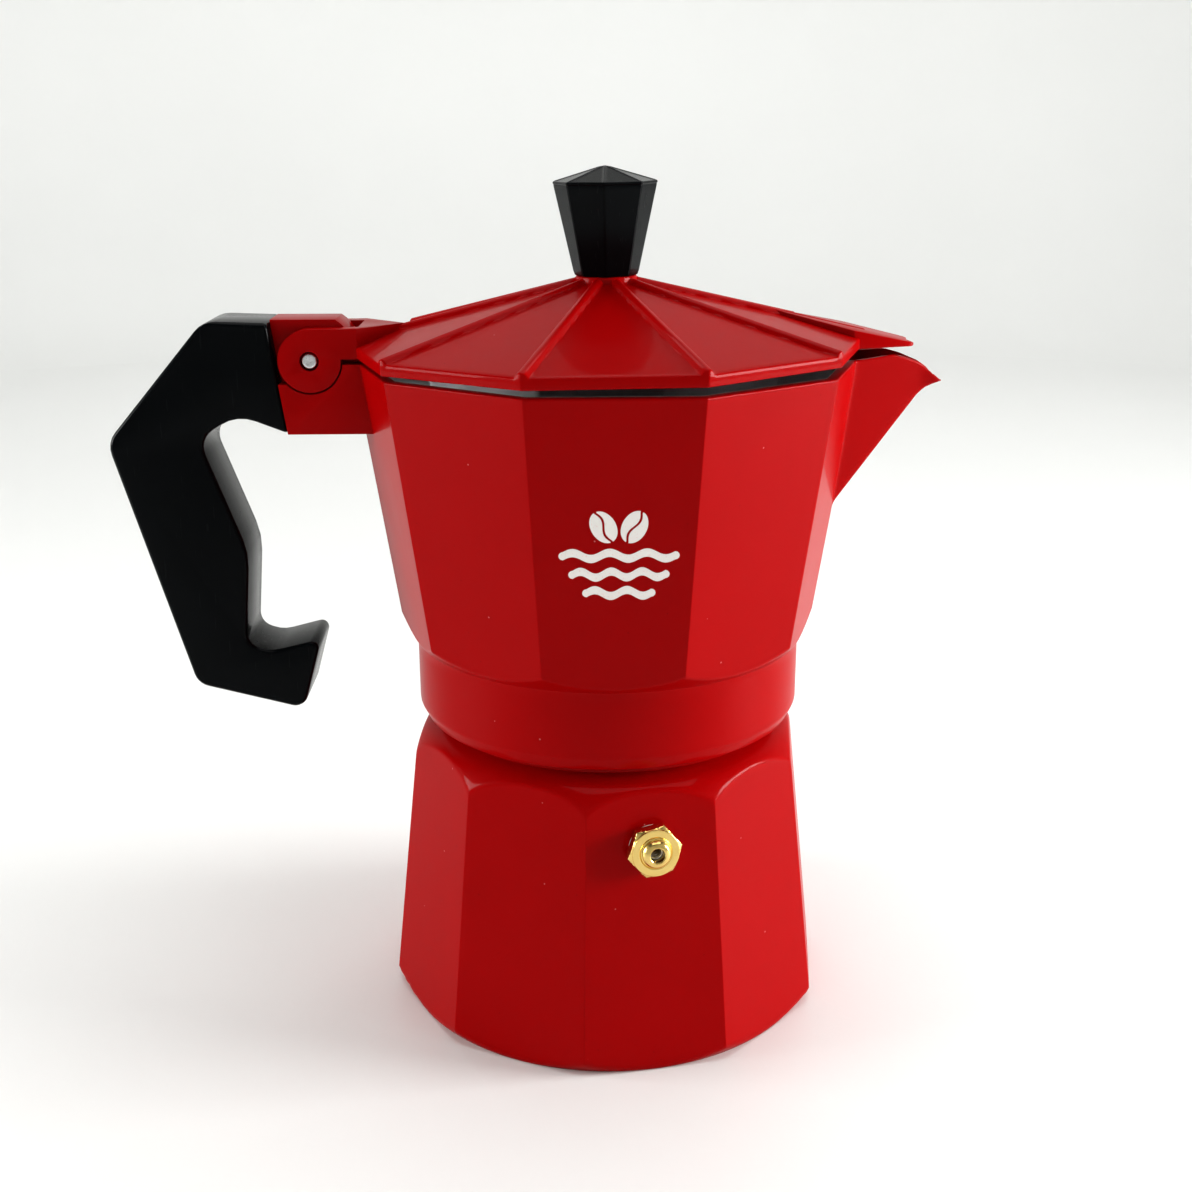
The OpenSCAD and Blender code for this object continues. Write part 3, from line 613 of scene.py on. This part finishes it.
# ---- castings made of plates ----------------------------------------------------
def prism(outline, low, high, turn=None):
    """A straight-sided solid on an outline of [x, y] points, from z = low to z = high.
    low and high are heights, or functions of a point."""
    mesh = bmesh.new()

    def level(z, p):
        return z(p) if callable(z) else z

    bottom = [mesh.verts.new((p[0] * MM, p[1] * MM, level(low, p) * MM)) for p in outline]
    top = [mesh.verts.new((p[0] * MM, p[1] * MM, level(high, p) * MM)) for p in outline]
    mesh.faces.new(bottom[::-1])
    mesh.faces.new(top)
    count = len(outline)
    for i in range(count):
        j = (i + 1) % count
        mesh.faces.new((bottom[i], bottom[j], top[j], top[i]))
    bmesh.ops.recalc_face_normals(mesh, faces=mesh.faces)
    if turn is not None:
        bmesh.ops.transform(mesh, matrix=turn, verts=mesh.verts)
    data = bpy.data.meshes.new("plate")
    mesh.to_mesh(data)
    mesh.free()
    piece = bpy.data.objects.new("plate", data)
    bpy.context.scene.collection.objects.link(piece)
    return piece


STANDING = Matrix(((1, 0, 0, 0), (0, 0, -1, 0), (0, 1, 0, 0), (0, 0, 0, 1)))


def plate(outline, near, far):
    """A standing plate: an outline of [x, z] points between two distances along Y."""
    return prism(outline, -far, -near, STANDING)


def circle(x, z, r, first=0, last=360, count=48):
    """Points of a circle, or of an arc between two angles in degrees."""
    closed = abs(last - first) >= 360
    steps = count if closed else max(2, round(count * abs(last - first) / 360)) + 1
    spread = np.radians(np.linspace(first, last, steps, endpoint=not closed))
    return [[x + r * math.cos(a), z + r * math.sin(a)] for a in spread]


def round_bar(r, x0, x1, z, count=32):
    """A round bar along X."""
    turn = Matrix(((0, 0, 1, 0), (1, 0, 0, 0), (0, 1, 0, 0), (0, 0, 0, 1)))
    return prism(circle(0, z, r, count=count), x0, x1, turn)


def cast(name, solids, cuts=(), rounding=0.3, finish="red_lacquer", angle=30, tilt=None):
    """One piece from overlapping solids, less the cuts, with its edges rounded."""
    base = solids[0]
    for solid, operation in [(p, "UNION") for p in solids[1:]] + [(p, "DIFFERENCE") for p in cuts]:
        step = base.modifiers.new("join", "BOOLEAN")
        step.operation = operation
        step.solver = "EXACT"
        step.object = solid
    flat = base.modifiers.new("flat", "DECIMATE")
    flat.decimate_type = "DISSOLVE"
    flat.angle_limit = math.radians(0.2)
    bevel = base.modifiers.new("bevel", "BEVEL")
    bevel.width = rounding * MM
    bevel.segments = 3
    bevel.limit_method = "ANGLE"
    bevel.angle_limit = math.radians(angle)
    bpy.context.view_layer.update()
    seen = base.evaluated_get(bpy.context.evaluated_depsgraph_get())
    data = bpy.data.meshes.new_from_object(seen)
    data.name = name
    for solid in [*solids, *cuts]:
        bpy.data.objects.remove(solid)
    if tilt is not None:
        data.transform(tilt)
    return placed(name, data, (finish,))


hinge_w = 16.0
tongue_w = 9.0
hinge_gap = 0.4
knuckle_r = 5.6
tongue_r = 8.4
joint_low_x = pin_x - 4.6
joint_top_x = pin_x - 7.3
bracket_low = rim_z - 12.7
bracket_top = pin_z + 7.1
screw_z = pin_z - 5.9
tang_w = 5.6
tang_long = 4.5
tang_below, tang_above = 3.4, 8.6
pin_hole_r = 1.55
tang_hole_r = 2.0
edge_r = 0.22
play = 0.15


def hinge_bracket():
    """The cheeks and tongue that carry the lid's pin, and the tang inside the handle."""
    root, bite = 2.2, 3.4
    body = plate([[-(jug_r(bracket_low) - bite), bracket_low], [-(rim_r - bite), rim_z - 0.03],
                  [pin_x, rim_z - 0.03], [joint_top_x + 0.9, pin_z], [joint_low_x, bracket_low]],
                 -hinge_w / 2, hinge_w / 2)
    tongue = plate([[joint_low_x, bracket_low + 0.05], [pin_x + 1, bracket_low + 0.05]]
                   + circle(pin_x, pin_z, tongue_r, -58, 57.5)
                   + [[joint_top_x, bracket_top]], -tongue_w / 2, tongue_w / 2)
    tang = plate([[joint_top_x - tang_long, screw_z - tang_below],
                  [joint_top_x + 4, screw_z - tang_below],
                  [joint_top_x + 4, screw_z + tang_above],
                  [joint_top_x - tang_long, screw_z + tang_above]], -tang_w / 2, tang_w / 2)
    cuts = [plate([[-(jug_r(bracket_low) - root), bracket_low - 1], [-(rim_r - root), rim_z + 1],
                   [-(rim_r - 2 * bite), rim_z + 1],
                   [-(jug_r(bracket_low) - 2 * bite), bracket_low - 1]],
                  -tongue_w / 2, tongue_w / 2)]
    for side in (-1, 1):
        near, far = sorted((side * tongue_w / 2, side * hinge_w))
        cuts.append(plate(circle(pin_x, pin_z, knuckle_r + hinge_gap), near, far))
        cuts.append(plate([[pin_x - 20, pin_z - 4.2], [pin_x, pin_z - 4.2],
                           [pin_x, pin_z + 20], [pin_x - 20, pin_z + 20]], near, far))
    cuts.append(plate(circle(pin_x, pin_z, pin_hole_r), -hinge_w, hinge_w))
    cuts.append(round_bar(tang_hole_r, pin_x - 20, pin_x + 4.5, screw_z))
    piece = cast("hinge_bracket", [body, tongue, tang], cuts, edge_r)
    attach(piece, "collector")


hinge_bracket()


# ---- lid ------------------------------------------------------------------------
lid_rest = 0.66
lid_tilt = (Matrix.Translation((pin_x * MM, 0, pin_z * MM))
            @ Matrix.Rotation(math.radians(-lid_rest), 4, "Y")
            @ Matrix.Translation((-pin_x * MM, 0, -pin_z * MM)))
lid_gap = 0.87
lid_edge_h = 2.0
lid_wall = 3
lid_r = rim_r + 0.5
lid_low = rim_z + lid_gap
lid_shoulder = lid_low + lid_edge_h
lid_rise = 11.6
lid_top = lid_shoulder + lid_rise
knob_low = lid_top - 0.1
rib_r = 1.15
rib_sink = 0.3
boss_r = 5.6
knob_hole_r = 2.1


def roof(directions, r):
    """Height of the lid's flat sides and ribs."""
    away = np.abs(from_corner(directions, SIDES))
    half = math.pi / SIDES
    facet = lid_top - lid_rise * r * np.cos(half - away) / (lid_r * math.cos(half))
    aside = r * np.sin(away)
    ridge = lid_top - lid_rise * r / lid_r - rib_sink
    rib = ridge + np.sqrt(np.maximum(rib_r ** 2 - aside ** 2, 0))
    return np.where(aside < rib_r, soft_max(facet, rib, 0.08), facet)


def lid_shell():
    """The ribbed lid, bare underneath."""
    directions = directions_round()
    around, up = [], []

    def add(reach, height):
        around.append(reach + np.zeros_like(directions))
        up.append(height + np.zeros_like(directions))

    lip = 0.3
    edge = flats(directions, lid_r, 0.6)
    for r, z in ((knob_hole_r, knob_low), (boss_r - 0.3, knob_low), (boss_r - 0.08, knob_low - 0.1),
                 (boss_r, knob_low - 0.3)):
        add(r, z)
    add(boss_r + 0.02, roof(directions, boss_r + 0.02) + 0.15)
    add(boss_r + 0.25, roof(directions, boss_r + 0.25))
    for share in np.linspace(0, 1, 46)[1:]:
        r = boss_r + 0.25 + (edge - lip - boss_r - 0.25) * share
        add(r, roof(directions, r))
    shoulder = roof(directions, edge - lip)
    for a in np.radians([30, 60, 90]):
        add(edge - lip + lip * math.sin(a), shoulder - lip * (1 - math.cos(a)) - 0.07 * math.sin(a))
    for z in (lid_low + 1.2, lid_low + lip):
        add(edge, z)
    for a in np.radians([30, 60, 90]):
        add(edge - lip * (1 - math.cos(a)), lid_low + lip * (1 - math.sin(a)))
    outer_rows = len(around)
    inner_r = lid_r - lid_wall / math.cos(math.pi / SIDES)
    inner = flats(directions, inner_r, 1.5)
    add(inner + lip, lid_low)
    add(inner, lid_low + lip)
    inner_z = lid_shoulder + lid_rise * (1 - inner_r / lid_r) - 1.54
    half = math.pi / SIDES
    away = np.abs(from_corner(directions, SIDES))
    for share in np.linspace(0, 1, 12):
        r = inner + (boss_r + 1.4 - inner) * share
        add(r, inner_z + lid_rise * (inner_r - r * np.cos(half - away) / math.cos(half)) / lid_r)
    add(boss_r + 1.4, lid_top - 4)
    add(knob_hole_r, lid_top - 4)
    lined = np.arange(len(around)) >= outer_rows + 1
    shell = rings_object("lid_shell", np.array(around), np.array(up), directions, closed=True,
                         finishes=("red_lacquer", "aluminium"), finish_of_row=lined)
    shell.data.transform(lid_tilt)
    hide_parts("lid")
    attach(shell, "lid")


def spout_cover():
    """The flat-topped cover that reaches over the spout."""
    back, front = lid_r * 0.62, rim_r + 8.9
    wide, end = 7.4, 4.32
    corner = rim_r - 2.9
    outline = [[back, 0], [corner, -wide], [front - 1.2, -end - 0.35], [front - 0.35, -end + 0.1],
               [front, -end + 1.1], [front - 0.6, -1.2], [front - 0.9, 0], [front - 0.6, 1.2],
               [front, end - 1.1], [front - 0.35, end - 0.1], [front - 1.2, end + 0.35],
               [corner, wide]]
    cover = prism(outline, lid_low + 0.05, lambda p: lid_top - lid_rise * p[0] / lid_r + 0.675)
    piece = cast("spout_cover", [cover], rounding=edge_r, tilt=lid_tilt)
    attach(piece, "lid")


def hinge_lug():
    """The knuckles that turn on the pin, and the web that joins them to the lid."""
    web_x = pin_x + tongue_r + hinge_gap
    top = pin_z + knuckle_r + 0.1
    web = prism([[pin_x, -hinge_w / 2], [web_x, -hinge_w / 2], [-(lid_r - 10.6), 0],
                 [web_x, hinge_w / 2], [pin_x, hinge_w / 2]], lid_low, top)
    knuckle = plate(circle(pin_x, pin_z, knuckle_r + 0.08, count=64), -hinge_w / 2, hinge_w / 2)
    slot_w = tongue_w / 2 + hinge_gap
    slot = plate([[pin_x - 12, pin_z - 12], [web_x, pin_z - 12], [web_x, pin_z + 12],
                  [pin_x - 12, pin_z + 12]], -slot_w, slot_w)
    lug_hole_r = 1.75
    hole = plate(circle(pin_x, pin_z, lug_hole_r, count=40), -hinge_w, hinge_w)
    piece = cast("hinge_lug", [web, knuckle], [slot, hole], edge_r, tilt=lid_tilt)
    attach(piece, "lid")


lid_shell()
spout_cover()
hinge_lug()


# ---- knob and handle --------------------------------------------------------------
def knob():
    """The eight-sided knob, with a rolled lip and fine ribs over its pointed top."""
    turn = math.radians(-92.7)
    count = 8
    directions = directions_round(count, turn)
    foot, top_r, tall, point = 5.9, 9.5, 16.4, 2.9
    insert_depth = 10.4
    around, up = [], []

    def add(reach, height):
        around.append(reach + np.zeros_like(directions))
        up.append(height + np.zeros_like(directions))

    insert_r = high_of("knob_insert").x
    for r, z in traced([[0, knob_low + insert_depth], [insert_r, knob_low + insert_depth],
                        [insert_r, knob_low], [foot - 1.2, knob_low]], 3):
        add(r, z)
    lip = 0.35
    for a in np.radians([0, 30, 60, 90]):
        add(flats(directions, foot, 0.8, count, turn) - lip * (1 - math.sin(a)),
            knob_low + lip * (1 - math.cos(a)))
    for share in np.linspace(0.05, 0.965, 20):
        add(flats(directions, foot + (top_r - foot) * share, 0.8, count, turn),
            knob_low + tall * share)
    brim = flats(directions, top_r, 0.7, count, turn)
    brim_z = knob_low + tall
    for a in np.radians([-60, -30, 0, 30, 60, 90]):
        add(brim - 0.05 + 0.3 * (math.cos(a) - 0.75), brim_z - 0.02 + 0.32 * math.sin(a))
    half = math.pi / count
    rib_h, rib_w = 0.12, 0.28
    away = np.abs(from_corner(directions, count, turn))
    for share in np.linspace(0.965, 0, 40):
        r = brim * share
        facet = point * (1 - r * np.cos(half - away) / (top_r * math.cos(half)))
        aside = r * np.sin(away)
        rib = rib_h * np.exp(-(aside / rib_w) ** 2)
        add(r, brim_z + rib_h + np.maximum(facet, 0) * 0.96 + rib * min(1, share * 8))
    piece = rings_object("lid_knob_body", np.array(around), np.array(up), directions,
                         finishes=("black_plastic",))
    piece.data.transform(lid_tilt)
    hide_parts("lid_knob")
    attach(piece, "lid")


def rounded(rows):
    """An outline of [x, z, corner radius] rows with its corners rounded."""
    closed = [rows[-1], *rows, rows[0]]
    points = []
    for before, row, after in zip(closed, rows, closed[2:]):
        if row[2]:
            points += traced([before[:2], row, after[:2]], 1e6)[1:-1].tolist()
        else:
            points.append(row[:2])
    return points


def handle():
    """The hooked handle, moulded in one piece with softly rounded edges."""
    top = bracket_top + 0.1
    low = top - 74.2
    back = joint_top_x - 30.7
    outline = rounded([[joint_top_x, top - 0.4, 0], [joint_top_x - 11.6, top, 5],
                       [back, top - 22, 4.5],
                       [joint_top_x - 17.8, low + 5, 3.5], [joint_top_x + 2.4, low - 0.3, 2.5],
                       [joint_top_x + 6.4, low + 13.9, 1.4], [joint_top_x - 3.4, low + 11.4, 6],
                       [joint_top_x - 7.8, low + 13, 4], [joint_top_x - 6.2, low + 31, 14],
                       [joint_top_x - 13.9, top - 21.5, 4], [joint_top_x - 6.6, top - 17, 7],
                       [joint_low_x, bracket_low - 0.1, 0]])
    half = (high_of("handle").y - low_of("handle").y) / 2
    body = plate(outline, -half, half)
    slot_x = joint_top_x - tang_long - play
    slot_low, slot_high = screw_z - tang_below - play, screw_z + tang_above + play
    slot = plate([[slot_x, slot_low], [pin_x, slot_low], [pin_x, slot_high], [slot_x, slot_high]],
                 -tang_w / 2 - play, tang_w / 2 + play)
    head_x = joint_top_x - 11
    bore_r, counterbore_r = 2.3, 4.3
    bore = round_bar(bore_r, head_x - 2, pin_x, screw_z)
    counterbore = round_bar(counterbore_r, joint_top_x - 60, head_x, screw_z)
    piece = cast("handle_body", [body], [slot, bore, counterbore], rounding=1.1,
                 finish="black_plastic", angle=35)
    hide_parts("handle")
    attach(piece, "collector")


knob()
handle()


# ---- valve ----------------------------------------------------------------------
valve_axis = Vector(joint_of("valve_lift")["axis"])
valve_z = 43.2
valve_flat_r = boiler_corner_r(valve_z) * math.cos(math.pi / SIDES)
valve_lean = math.acos(valve_axis.z)
AT_VALVE = (Matrix.Rotation(valve_turn, 4, "Z")
            @ Matrix.Translation((valve_flat_r * MM, 0, valve_z * MM))
            @ Matrix.Rotation(valve_lean, 4, "Y"))
valve_hex = 8.84
hexagon_turn = math.radians(-20)
valve_foot = -5.2
washer_t = 0.5
hexagon_top = washer_t + 2.4
chamber_r = 1.85
chamber_top = hexagon_top + 0.3
steam_hole_r = 1.3
ball_r = 1.5


def valve_fitting():
    """The turned brass body: a chamfered hexagon, a faced disc and a nose with its steam hole."""
    corner_r = valve_hex / 2 / math.cos(math.pi / 6)
    face_r = valve_hex * 0.49
    face_top = hexagon_top + 0.4
    nose_r = face_r * 0.62
    nose_top = hexagon_top + 1.9
    directions = np.radians(np.arange(0, 360, 2.5))
    hexagon = flats(directions, corner_r, 0.15, 6, hexagon_turn)
    body = traced([[chamber_r, chamber_top], [chamber_r, valve_foot, 0.1], [3, valve_foot, 0.3],
                   [3, washer_t], [face_r - 0.2, washer_t], [corner_r, washer_t + 0.4],
                   [corner_r, hexagon_top - 0.45], [face_r + 0.05, hexagon_top],
                   [face_r, hexagon_top + 0.05], [face_r, face_top, 0.12],
                   [nose_r + 0.35, face_top, 0.1],
                   [nose_r + 0.1, face_top - 0.12, 0.05], [nose_r - 0.15, face_top, 0.1],
                   [nose_r, face_top + 0.6, 0.5], [nose_r * 0.82, nose_top - 0.25, 0.7],
                   [steam_hole_r + 0.2, nose_top, 0.15], [steam_hole_r, nose_top - 0.15, 0.1],
                   [steam_hole_r, chamber_top, 0.05]], 0.3)
    around = np.repeat(body[:, :1], len(directions), axis=1)
    up = np.repeat(body[:, 1:], len(directions), axis=1)
    in_hexagon = (body[:, 1] >= washer_t) & (body[:, 1] <= hexagon_top) & (body[:, 0] > nose_r)
    around[in_hexagon] = soft_min(around[in_hexagon], hexagon, 0.06)
    piece = rings_object("valve_fitting", around, up, directions, closed=True, finishes=("brass",))
    piece.data.transform(AT_VALVE)
    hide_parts("valve_body")
    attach(piece, "boiler")


def swept(name, path, sections, finish):
    """A closed strip, with an [out, up] section at each [direction, radius, height] of a path."""
    mesh = bmesh.new()
    rings = []
    for (direction, r, z), section in zip(path, sections):
        rings.append([mesh.verts.new(((r + out) * math.cos(direction) * MM,
                                      (r + out) * math.sin(direction) * MM, (z + rise) * MM))
                      for out, rise in section])
    for ring, ahead in zip(rings, rings[1:]):
        count = len(ring)
        for i in range(count):
            j = (i + 1) % count
            mesh.faces.new((ring[i], ring[j], ahead[j], ahead[i]))
    mesh.faces.new(rings[0][::-1])
    mesh.faces.new(rings[-1])
    data = bpy.data.meshes.new(name)
    mesh.to_mesh(data)
    mesh.free()
    return placed(name, data, (finish,))


def spring():
    """The coil spring behind the valve's nose, with its last turns closed up."""
    wire = 0.22
    coil_r = 0.78 * ball_r
    seat_hole = ball_r * 0.66
    ball_z = valve_foot + 1.3 + math.sqrt(ball_r ** 2 - seat_hole ** 2) + 0.02
    low = ball_z + math.sqrt(ball_r ** 2 - coil_r ** 2) + wire + 0.12
    high = chamber_top - wire
    turns = 5.5
    steps = 200
    path = []
    for i in range(steps + 1):
        share = i / steps
        ends = min(share, 1 - share) * turns
        pitch = wire * 2.05 / (high - low)
        closed = min(ends, 1) * pitch
        middle = max(ends - 1, 0) / (turns / 2 - 1) * (0.5 - pitch)
        rise = closed + middle if share <= 0.5 else 1 - closed - middle
        path.append([share * turns * 2 * math.pi, coil_r, low + (high - low) * rise])
    section = circle(0, 0, wire, count=10)
    piece = swept("valve_coil", path, [section] * len(path), "steel")
    piece.data.transform(AT_VALVE)
    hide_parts("valve_spring")
    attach(piece, "boiler")
    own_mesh(piece)


valve_fitting()
spring()


# ---- screw threads, pin and small pieces -------------------------------------------
def thread(name, root_r, side, first_z, last_z, finish, body):
    """A helical thread that rises out of its wall at each end."""
    pitch, depth = 3.0, 1.1
    turns = (last_z - first_z) / pitch
    steps = round(turns * 72)
    path, sections = [], []
    for i in range(steps + 1):
        run = i / steps * turns
        grown = min(1, run * 4, (turns - run) * 4)
        grown = 0.04 + 0.96 * grown
        path.append([run * 2 * math.pi, root_r, first_z + run * pitch])
        half = [[-0.25, 0.42], [0, 0.36], [0.5, 0.25], [0.93, 0.15], [1, 0.08]]
        half = [[out * depth * grown if out > 0 else out, rise * pitch * grown]
                for out, rise in half]
        section = half + [[out, -rise] for out, rise in half[::-1]]
        sections.append([[side * out, rise] for out, rise in section])
    piece = swept(name, path, sections, finish)
    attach(piece, body)


thread("neck_thread", neck_r, 1, 59.0, 64.2, "aluminium", "boiler")
thread("skirt_thread", skirt_bore, -1, 60.4, 64.4, "aluminium", "collector")


def hinge_pin():
    """The steel pin, with slightly domed and dimpled ends."""
    pin_r, half = 1.5, high_of("hinge_pin").y
    lie = (Matrix.Translation((pin_x * MM, 0, pin_z * MM))
           @ Matrix.Rotation(math.radians(90), 4, "X"))
    dome = [[0, half - 0.1], [0.5, half - 0.05], [0.95, half, 0.3], [pin_r - 0.25, half - 0.1, 0.2],
            [pin_r, half - 0.4, 0.3]]
    rows = dome + [[row[0], -row[1], *row[2:]] for row in dome[::-1]]
    profile = traced(rows, 0.6)
    directions = np.radians(np.arange(0, 360, 6))
    piece = rings_object("lid_pin", np.repeat(profile[:, :1], 60, axis=1),
                         np.repeat(profile[:, 1:], 60, axis=1), directions, finishes=("steel",))
    piece.data.transform(lie)
    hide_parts("hinge_pin")
    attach(piece, "collector")


hinge_pin()


# ---- printed mark ------------------------------------------------------------------
def printed_mark():
    """Two coffee beans over three ripples, in off-white ink on the front flat."""
    middle_z = 98.0
    lean = math.atan((rim_r - jug_foot_r) / (rim_z - jug_foot_z) * math.cos(math.pi / SIDES))
    front = jug_r(middle_z) * math.cos(math.pi / SIDES)
    on_flat = (Matrix.Translation((0, -front * MM, middle_z * MM))
               @ Matrix.Rotation(math.radians(90) + lean, 4, "X"))
    ink, film = 0.03, 0.05

    def leaf(x, z, long, wide, turn, side):
        """One half of a bean: a half ellipse with a waved inner edge."""
        spread = np.radians(np.linspace(-84, 84, 30))
        outer = [[side * wide * math.cos(a), long * math.sin(a)] for a in spread]
        waved = np.linspace(1, -1, 22)
        inner = [[side * 0.2 + 0.21 * wide * math.sin(t * math.pi), 0.93 * long * t]
                 for t in waved]
        c, s = math.cos(turn), math.sin(turn)
        return [[x + c * u - s * v, z + s * u + c * v] for u, v in outer + inner]

    def ripple(x, z, wide, thick, waves):
        """A waved band with round ends."""
        spread = np.linspace(-wide / 2, wide / 2, 16 * waves)
        line = [[u, 0.55 * math.sin((u / wide + 0.5) * waves * 2 * math.pi)] for u in spread]
        top = [[x + u, z + v + thick / 2] for u, v in line]
        low = [[x + u, z + v - thick / 2] for u, v in line]
        end = [[x + wide / 2 + thick / 2 * math.cos(a), z + thick / 2 * math.sin(a)]
               for a in np.radians([60, 30, 0, -30, -60])]
        start = [[x - wide / 2 - thick / 2 * math.cos(a), z + thick / 2 * math.sin(a)]
                 for a in np.radians([-60, -30, 0, 30, 60])]
        return top + end + low[::-1] + start

    centre = 0.8
    outlines = [ripple(centre, 0.9, 18.6, 1.5, 3), ripple(centre, -2.5, 15.4, 1.5, 3),
                ripple(centre, -5.9, 10.8, 1.5, 2)]
    for x, turn in ((centre - 2.6, math.radians(28)), (centre + 2.5, math.radians(-24))):
        outlines += [leaf(x, 6.0, 3.0, 2.1, turn, side) for side in (-1, 1)]
    mesh = bmesh.new()
    for outline in outlines:
        film_piece = prism(outline, -ink, film)
        mesh.from_mesh(film_piece.data)
        bpy.data.objects.remove(film_piece)
    data = bpy.data.meshes.new("printed_mark")
    mesh.to_mesh(data)
    mesh.free()
    data.transform(on_flat)
    piece = placed("printed_mark", data, ("mark_ink",))
    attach(piece, "collector")


printed_mark()


# ---- studio -----------------------------------------------------------------
def paper():
    """Matt white paper."""
    f = Finish("white_paper")
    tone = f.noise(260, 3)
    fibres = f.noise(1.4, 3)
    colour = f.blend(tone, rgb(0.76, 0.765, 0.75), rgb(0.82, 0.825, 0.81))
    return f.done(Base_Color=colour, Roughness=0.55, Normal=f.bump(fibres, 0.02))


def paper_sheet(name, profile, finish):
    """A turned sheet of paper, all the way round."""
    directions = np.radians(np.linspace(0, 360, 97))
    around = np.repeat(profile[:, :1], len(directions), axis=1)
    up = np.repeat(profile[:, 1:], len(directions), axis=1)
    x, y = around * np.cos(directions), around * np.sin(directions)
    points = np.stack([x, y, up], axis=-1).reshape(-1, 3) * MM
    index = np.arange(len(points)).reshape(x.shape)
    quads = np.stack([index[:-1, :-1], index[1:, :-1], index[1:, 1:], index[:-1, 1:]], axis=-1)
    data = bpy.data.meshes.new(name)
    data.from_pydata(points.tolist(), [], quads.reshape(-1, 4).tolist())
    data.polygons.foreach_set("use_smooth", np.ones(len(data.polygons), bool))
    data.materials.append(finish)
    sheet = bpy.data.objects.new(name, data)
    bpy.context.scene.collection.objects.link(sheet)


def studio():
    """A round paper floor that sweeps up on all sides."""
    finish = paper()
    floor_r, bend, tall = 900, 320, 1400
    curve = [[floor_r + bend * math.sin(a), bend - bend * math.cos(a)]
             for a in np.radians(np.arange(0, 91, 6))]
    paper_sheet("paper_floor", np.array([[0.01, 0], [200, 0], [500, 0], [floor_r, 0]]), finish)
    paper_sheet("paper_sweep", np.array(curve + [[floor_r + bend, tall]]), finish)


def lamp(name, place, aim, size, watts):
    """A soft rectangular lamp that the camera doesn't see."""
    data = bpy.data.lights.new(name, "AREA")
    data.shape = "RECTANGLE"
    data.size, data.size_y = size[0] * MM, size[1] * MM
    data.energy = watts
    soft = bpy.data.objects.new(name, data)
    soft.location = Vector(place) * MM
    soft.rotation_mode = "QUATERNION"
    soft.rotation_quaternion = (Vector(aim) - Vector(place)).to_track_quat("-Z", "Y")
    soft.visible_camera = False
    bpy.context.scene.collection.objects.link(soft)


def air():
    """Dim surroundings that look pale where the camera sees past the paper."""
    world = bpy.data.worlds.new("studio_air")
    world.use_nodes = True
    tree = world.node_tree
    tree.nodes.clear()
    sight = tree.nodes.new("ShaderNodeLightPath")
    pale = tree.nodes.new("ShaderNodeBackground")
    pale.inputs["Color"].default_value = rgb(0.83, 0.86, 0.85)
    dim = tree.nodes.new("ShaderNodeBackground")
    dim.inputs["Color"].default_value = rgb(0.9, 0.95, 1.0)
    dim.inputs["Strength"].default_value = 0.04
    both = tree.nodes.new("ShaderNodeMixShader")
    end = tree.nodes.new("ShaderNodeOutputWorld")
    tree.links.new(sight.outputs["Is Camera Ray"], both.inputs[0])
    tree.links.new(dim.outputs[0], both.inputs[1])
    tree.links.new(pale.outputs[0], both.inputs[2])
    tree.links.new(both.outputs[0], end.inputs["Surface"])
    bpy.context.scene.world = world


studio()
air()
lamp("top_softbox", (60, 60, 900), (0, 40, 0), (900, 800), 4.5)
lamp("right_softbox", (640, -60, 200), (0, 0, 80), (300, 240), 5.2)
lamp("left_softbox", (-640, -60, 200), (0, 0, 80), (300, 240), 2.6)
lamp("sweep_lamp", (0, 700, 900), (0, 1100, 250), (1200, 300), 2.8)


def camera():
    """A hand-held view from a little above the lid, looking down at the pot's front."""
    place = Vector((-7.787, -284.113, 167.38))
    look = Vector((0.01866623, 0.95478573, -0.29670825))
    up = Vector((0.00928954, 0.29658153, 0.95496236))
    data = bpy.data.cameras.new("camera")
    data.sensor_width = 36
    data.lens = 46.07
    data.clip_start = 0.01
    eye = bpy.data.objects.new("camera", data)
    right = look.cross(up).normalized()
    turn = Matrix((right, right.cross(look).normalized(), -look)).transposed()
    eye.matrix_world = Matrix.Translation(place * MM) @ turn.to_4x4()
    bpy.context.scene.collection.objects.link(eye)
    bpy.context.scene.camera = eye


camera()
bpy.context.scene.view_settings.view_transform = "Standard"
bpy.context.scene.view_settings.look = "Medium High Contrast"
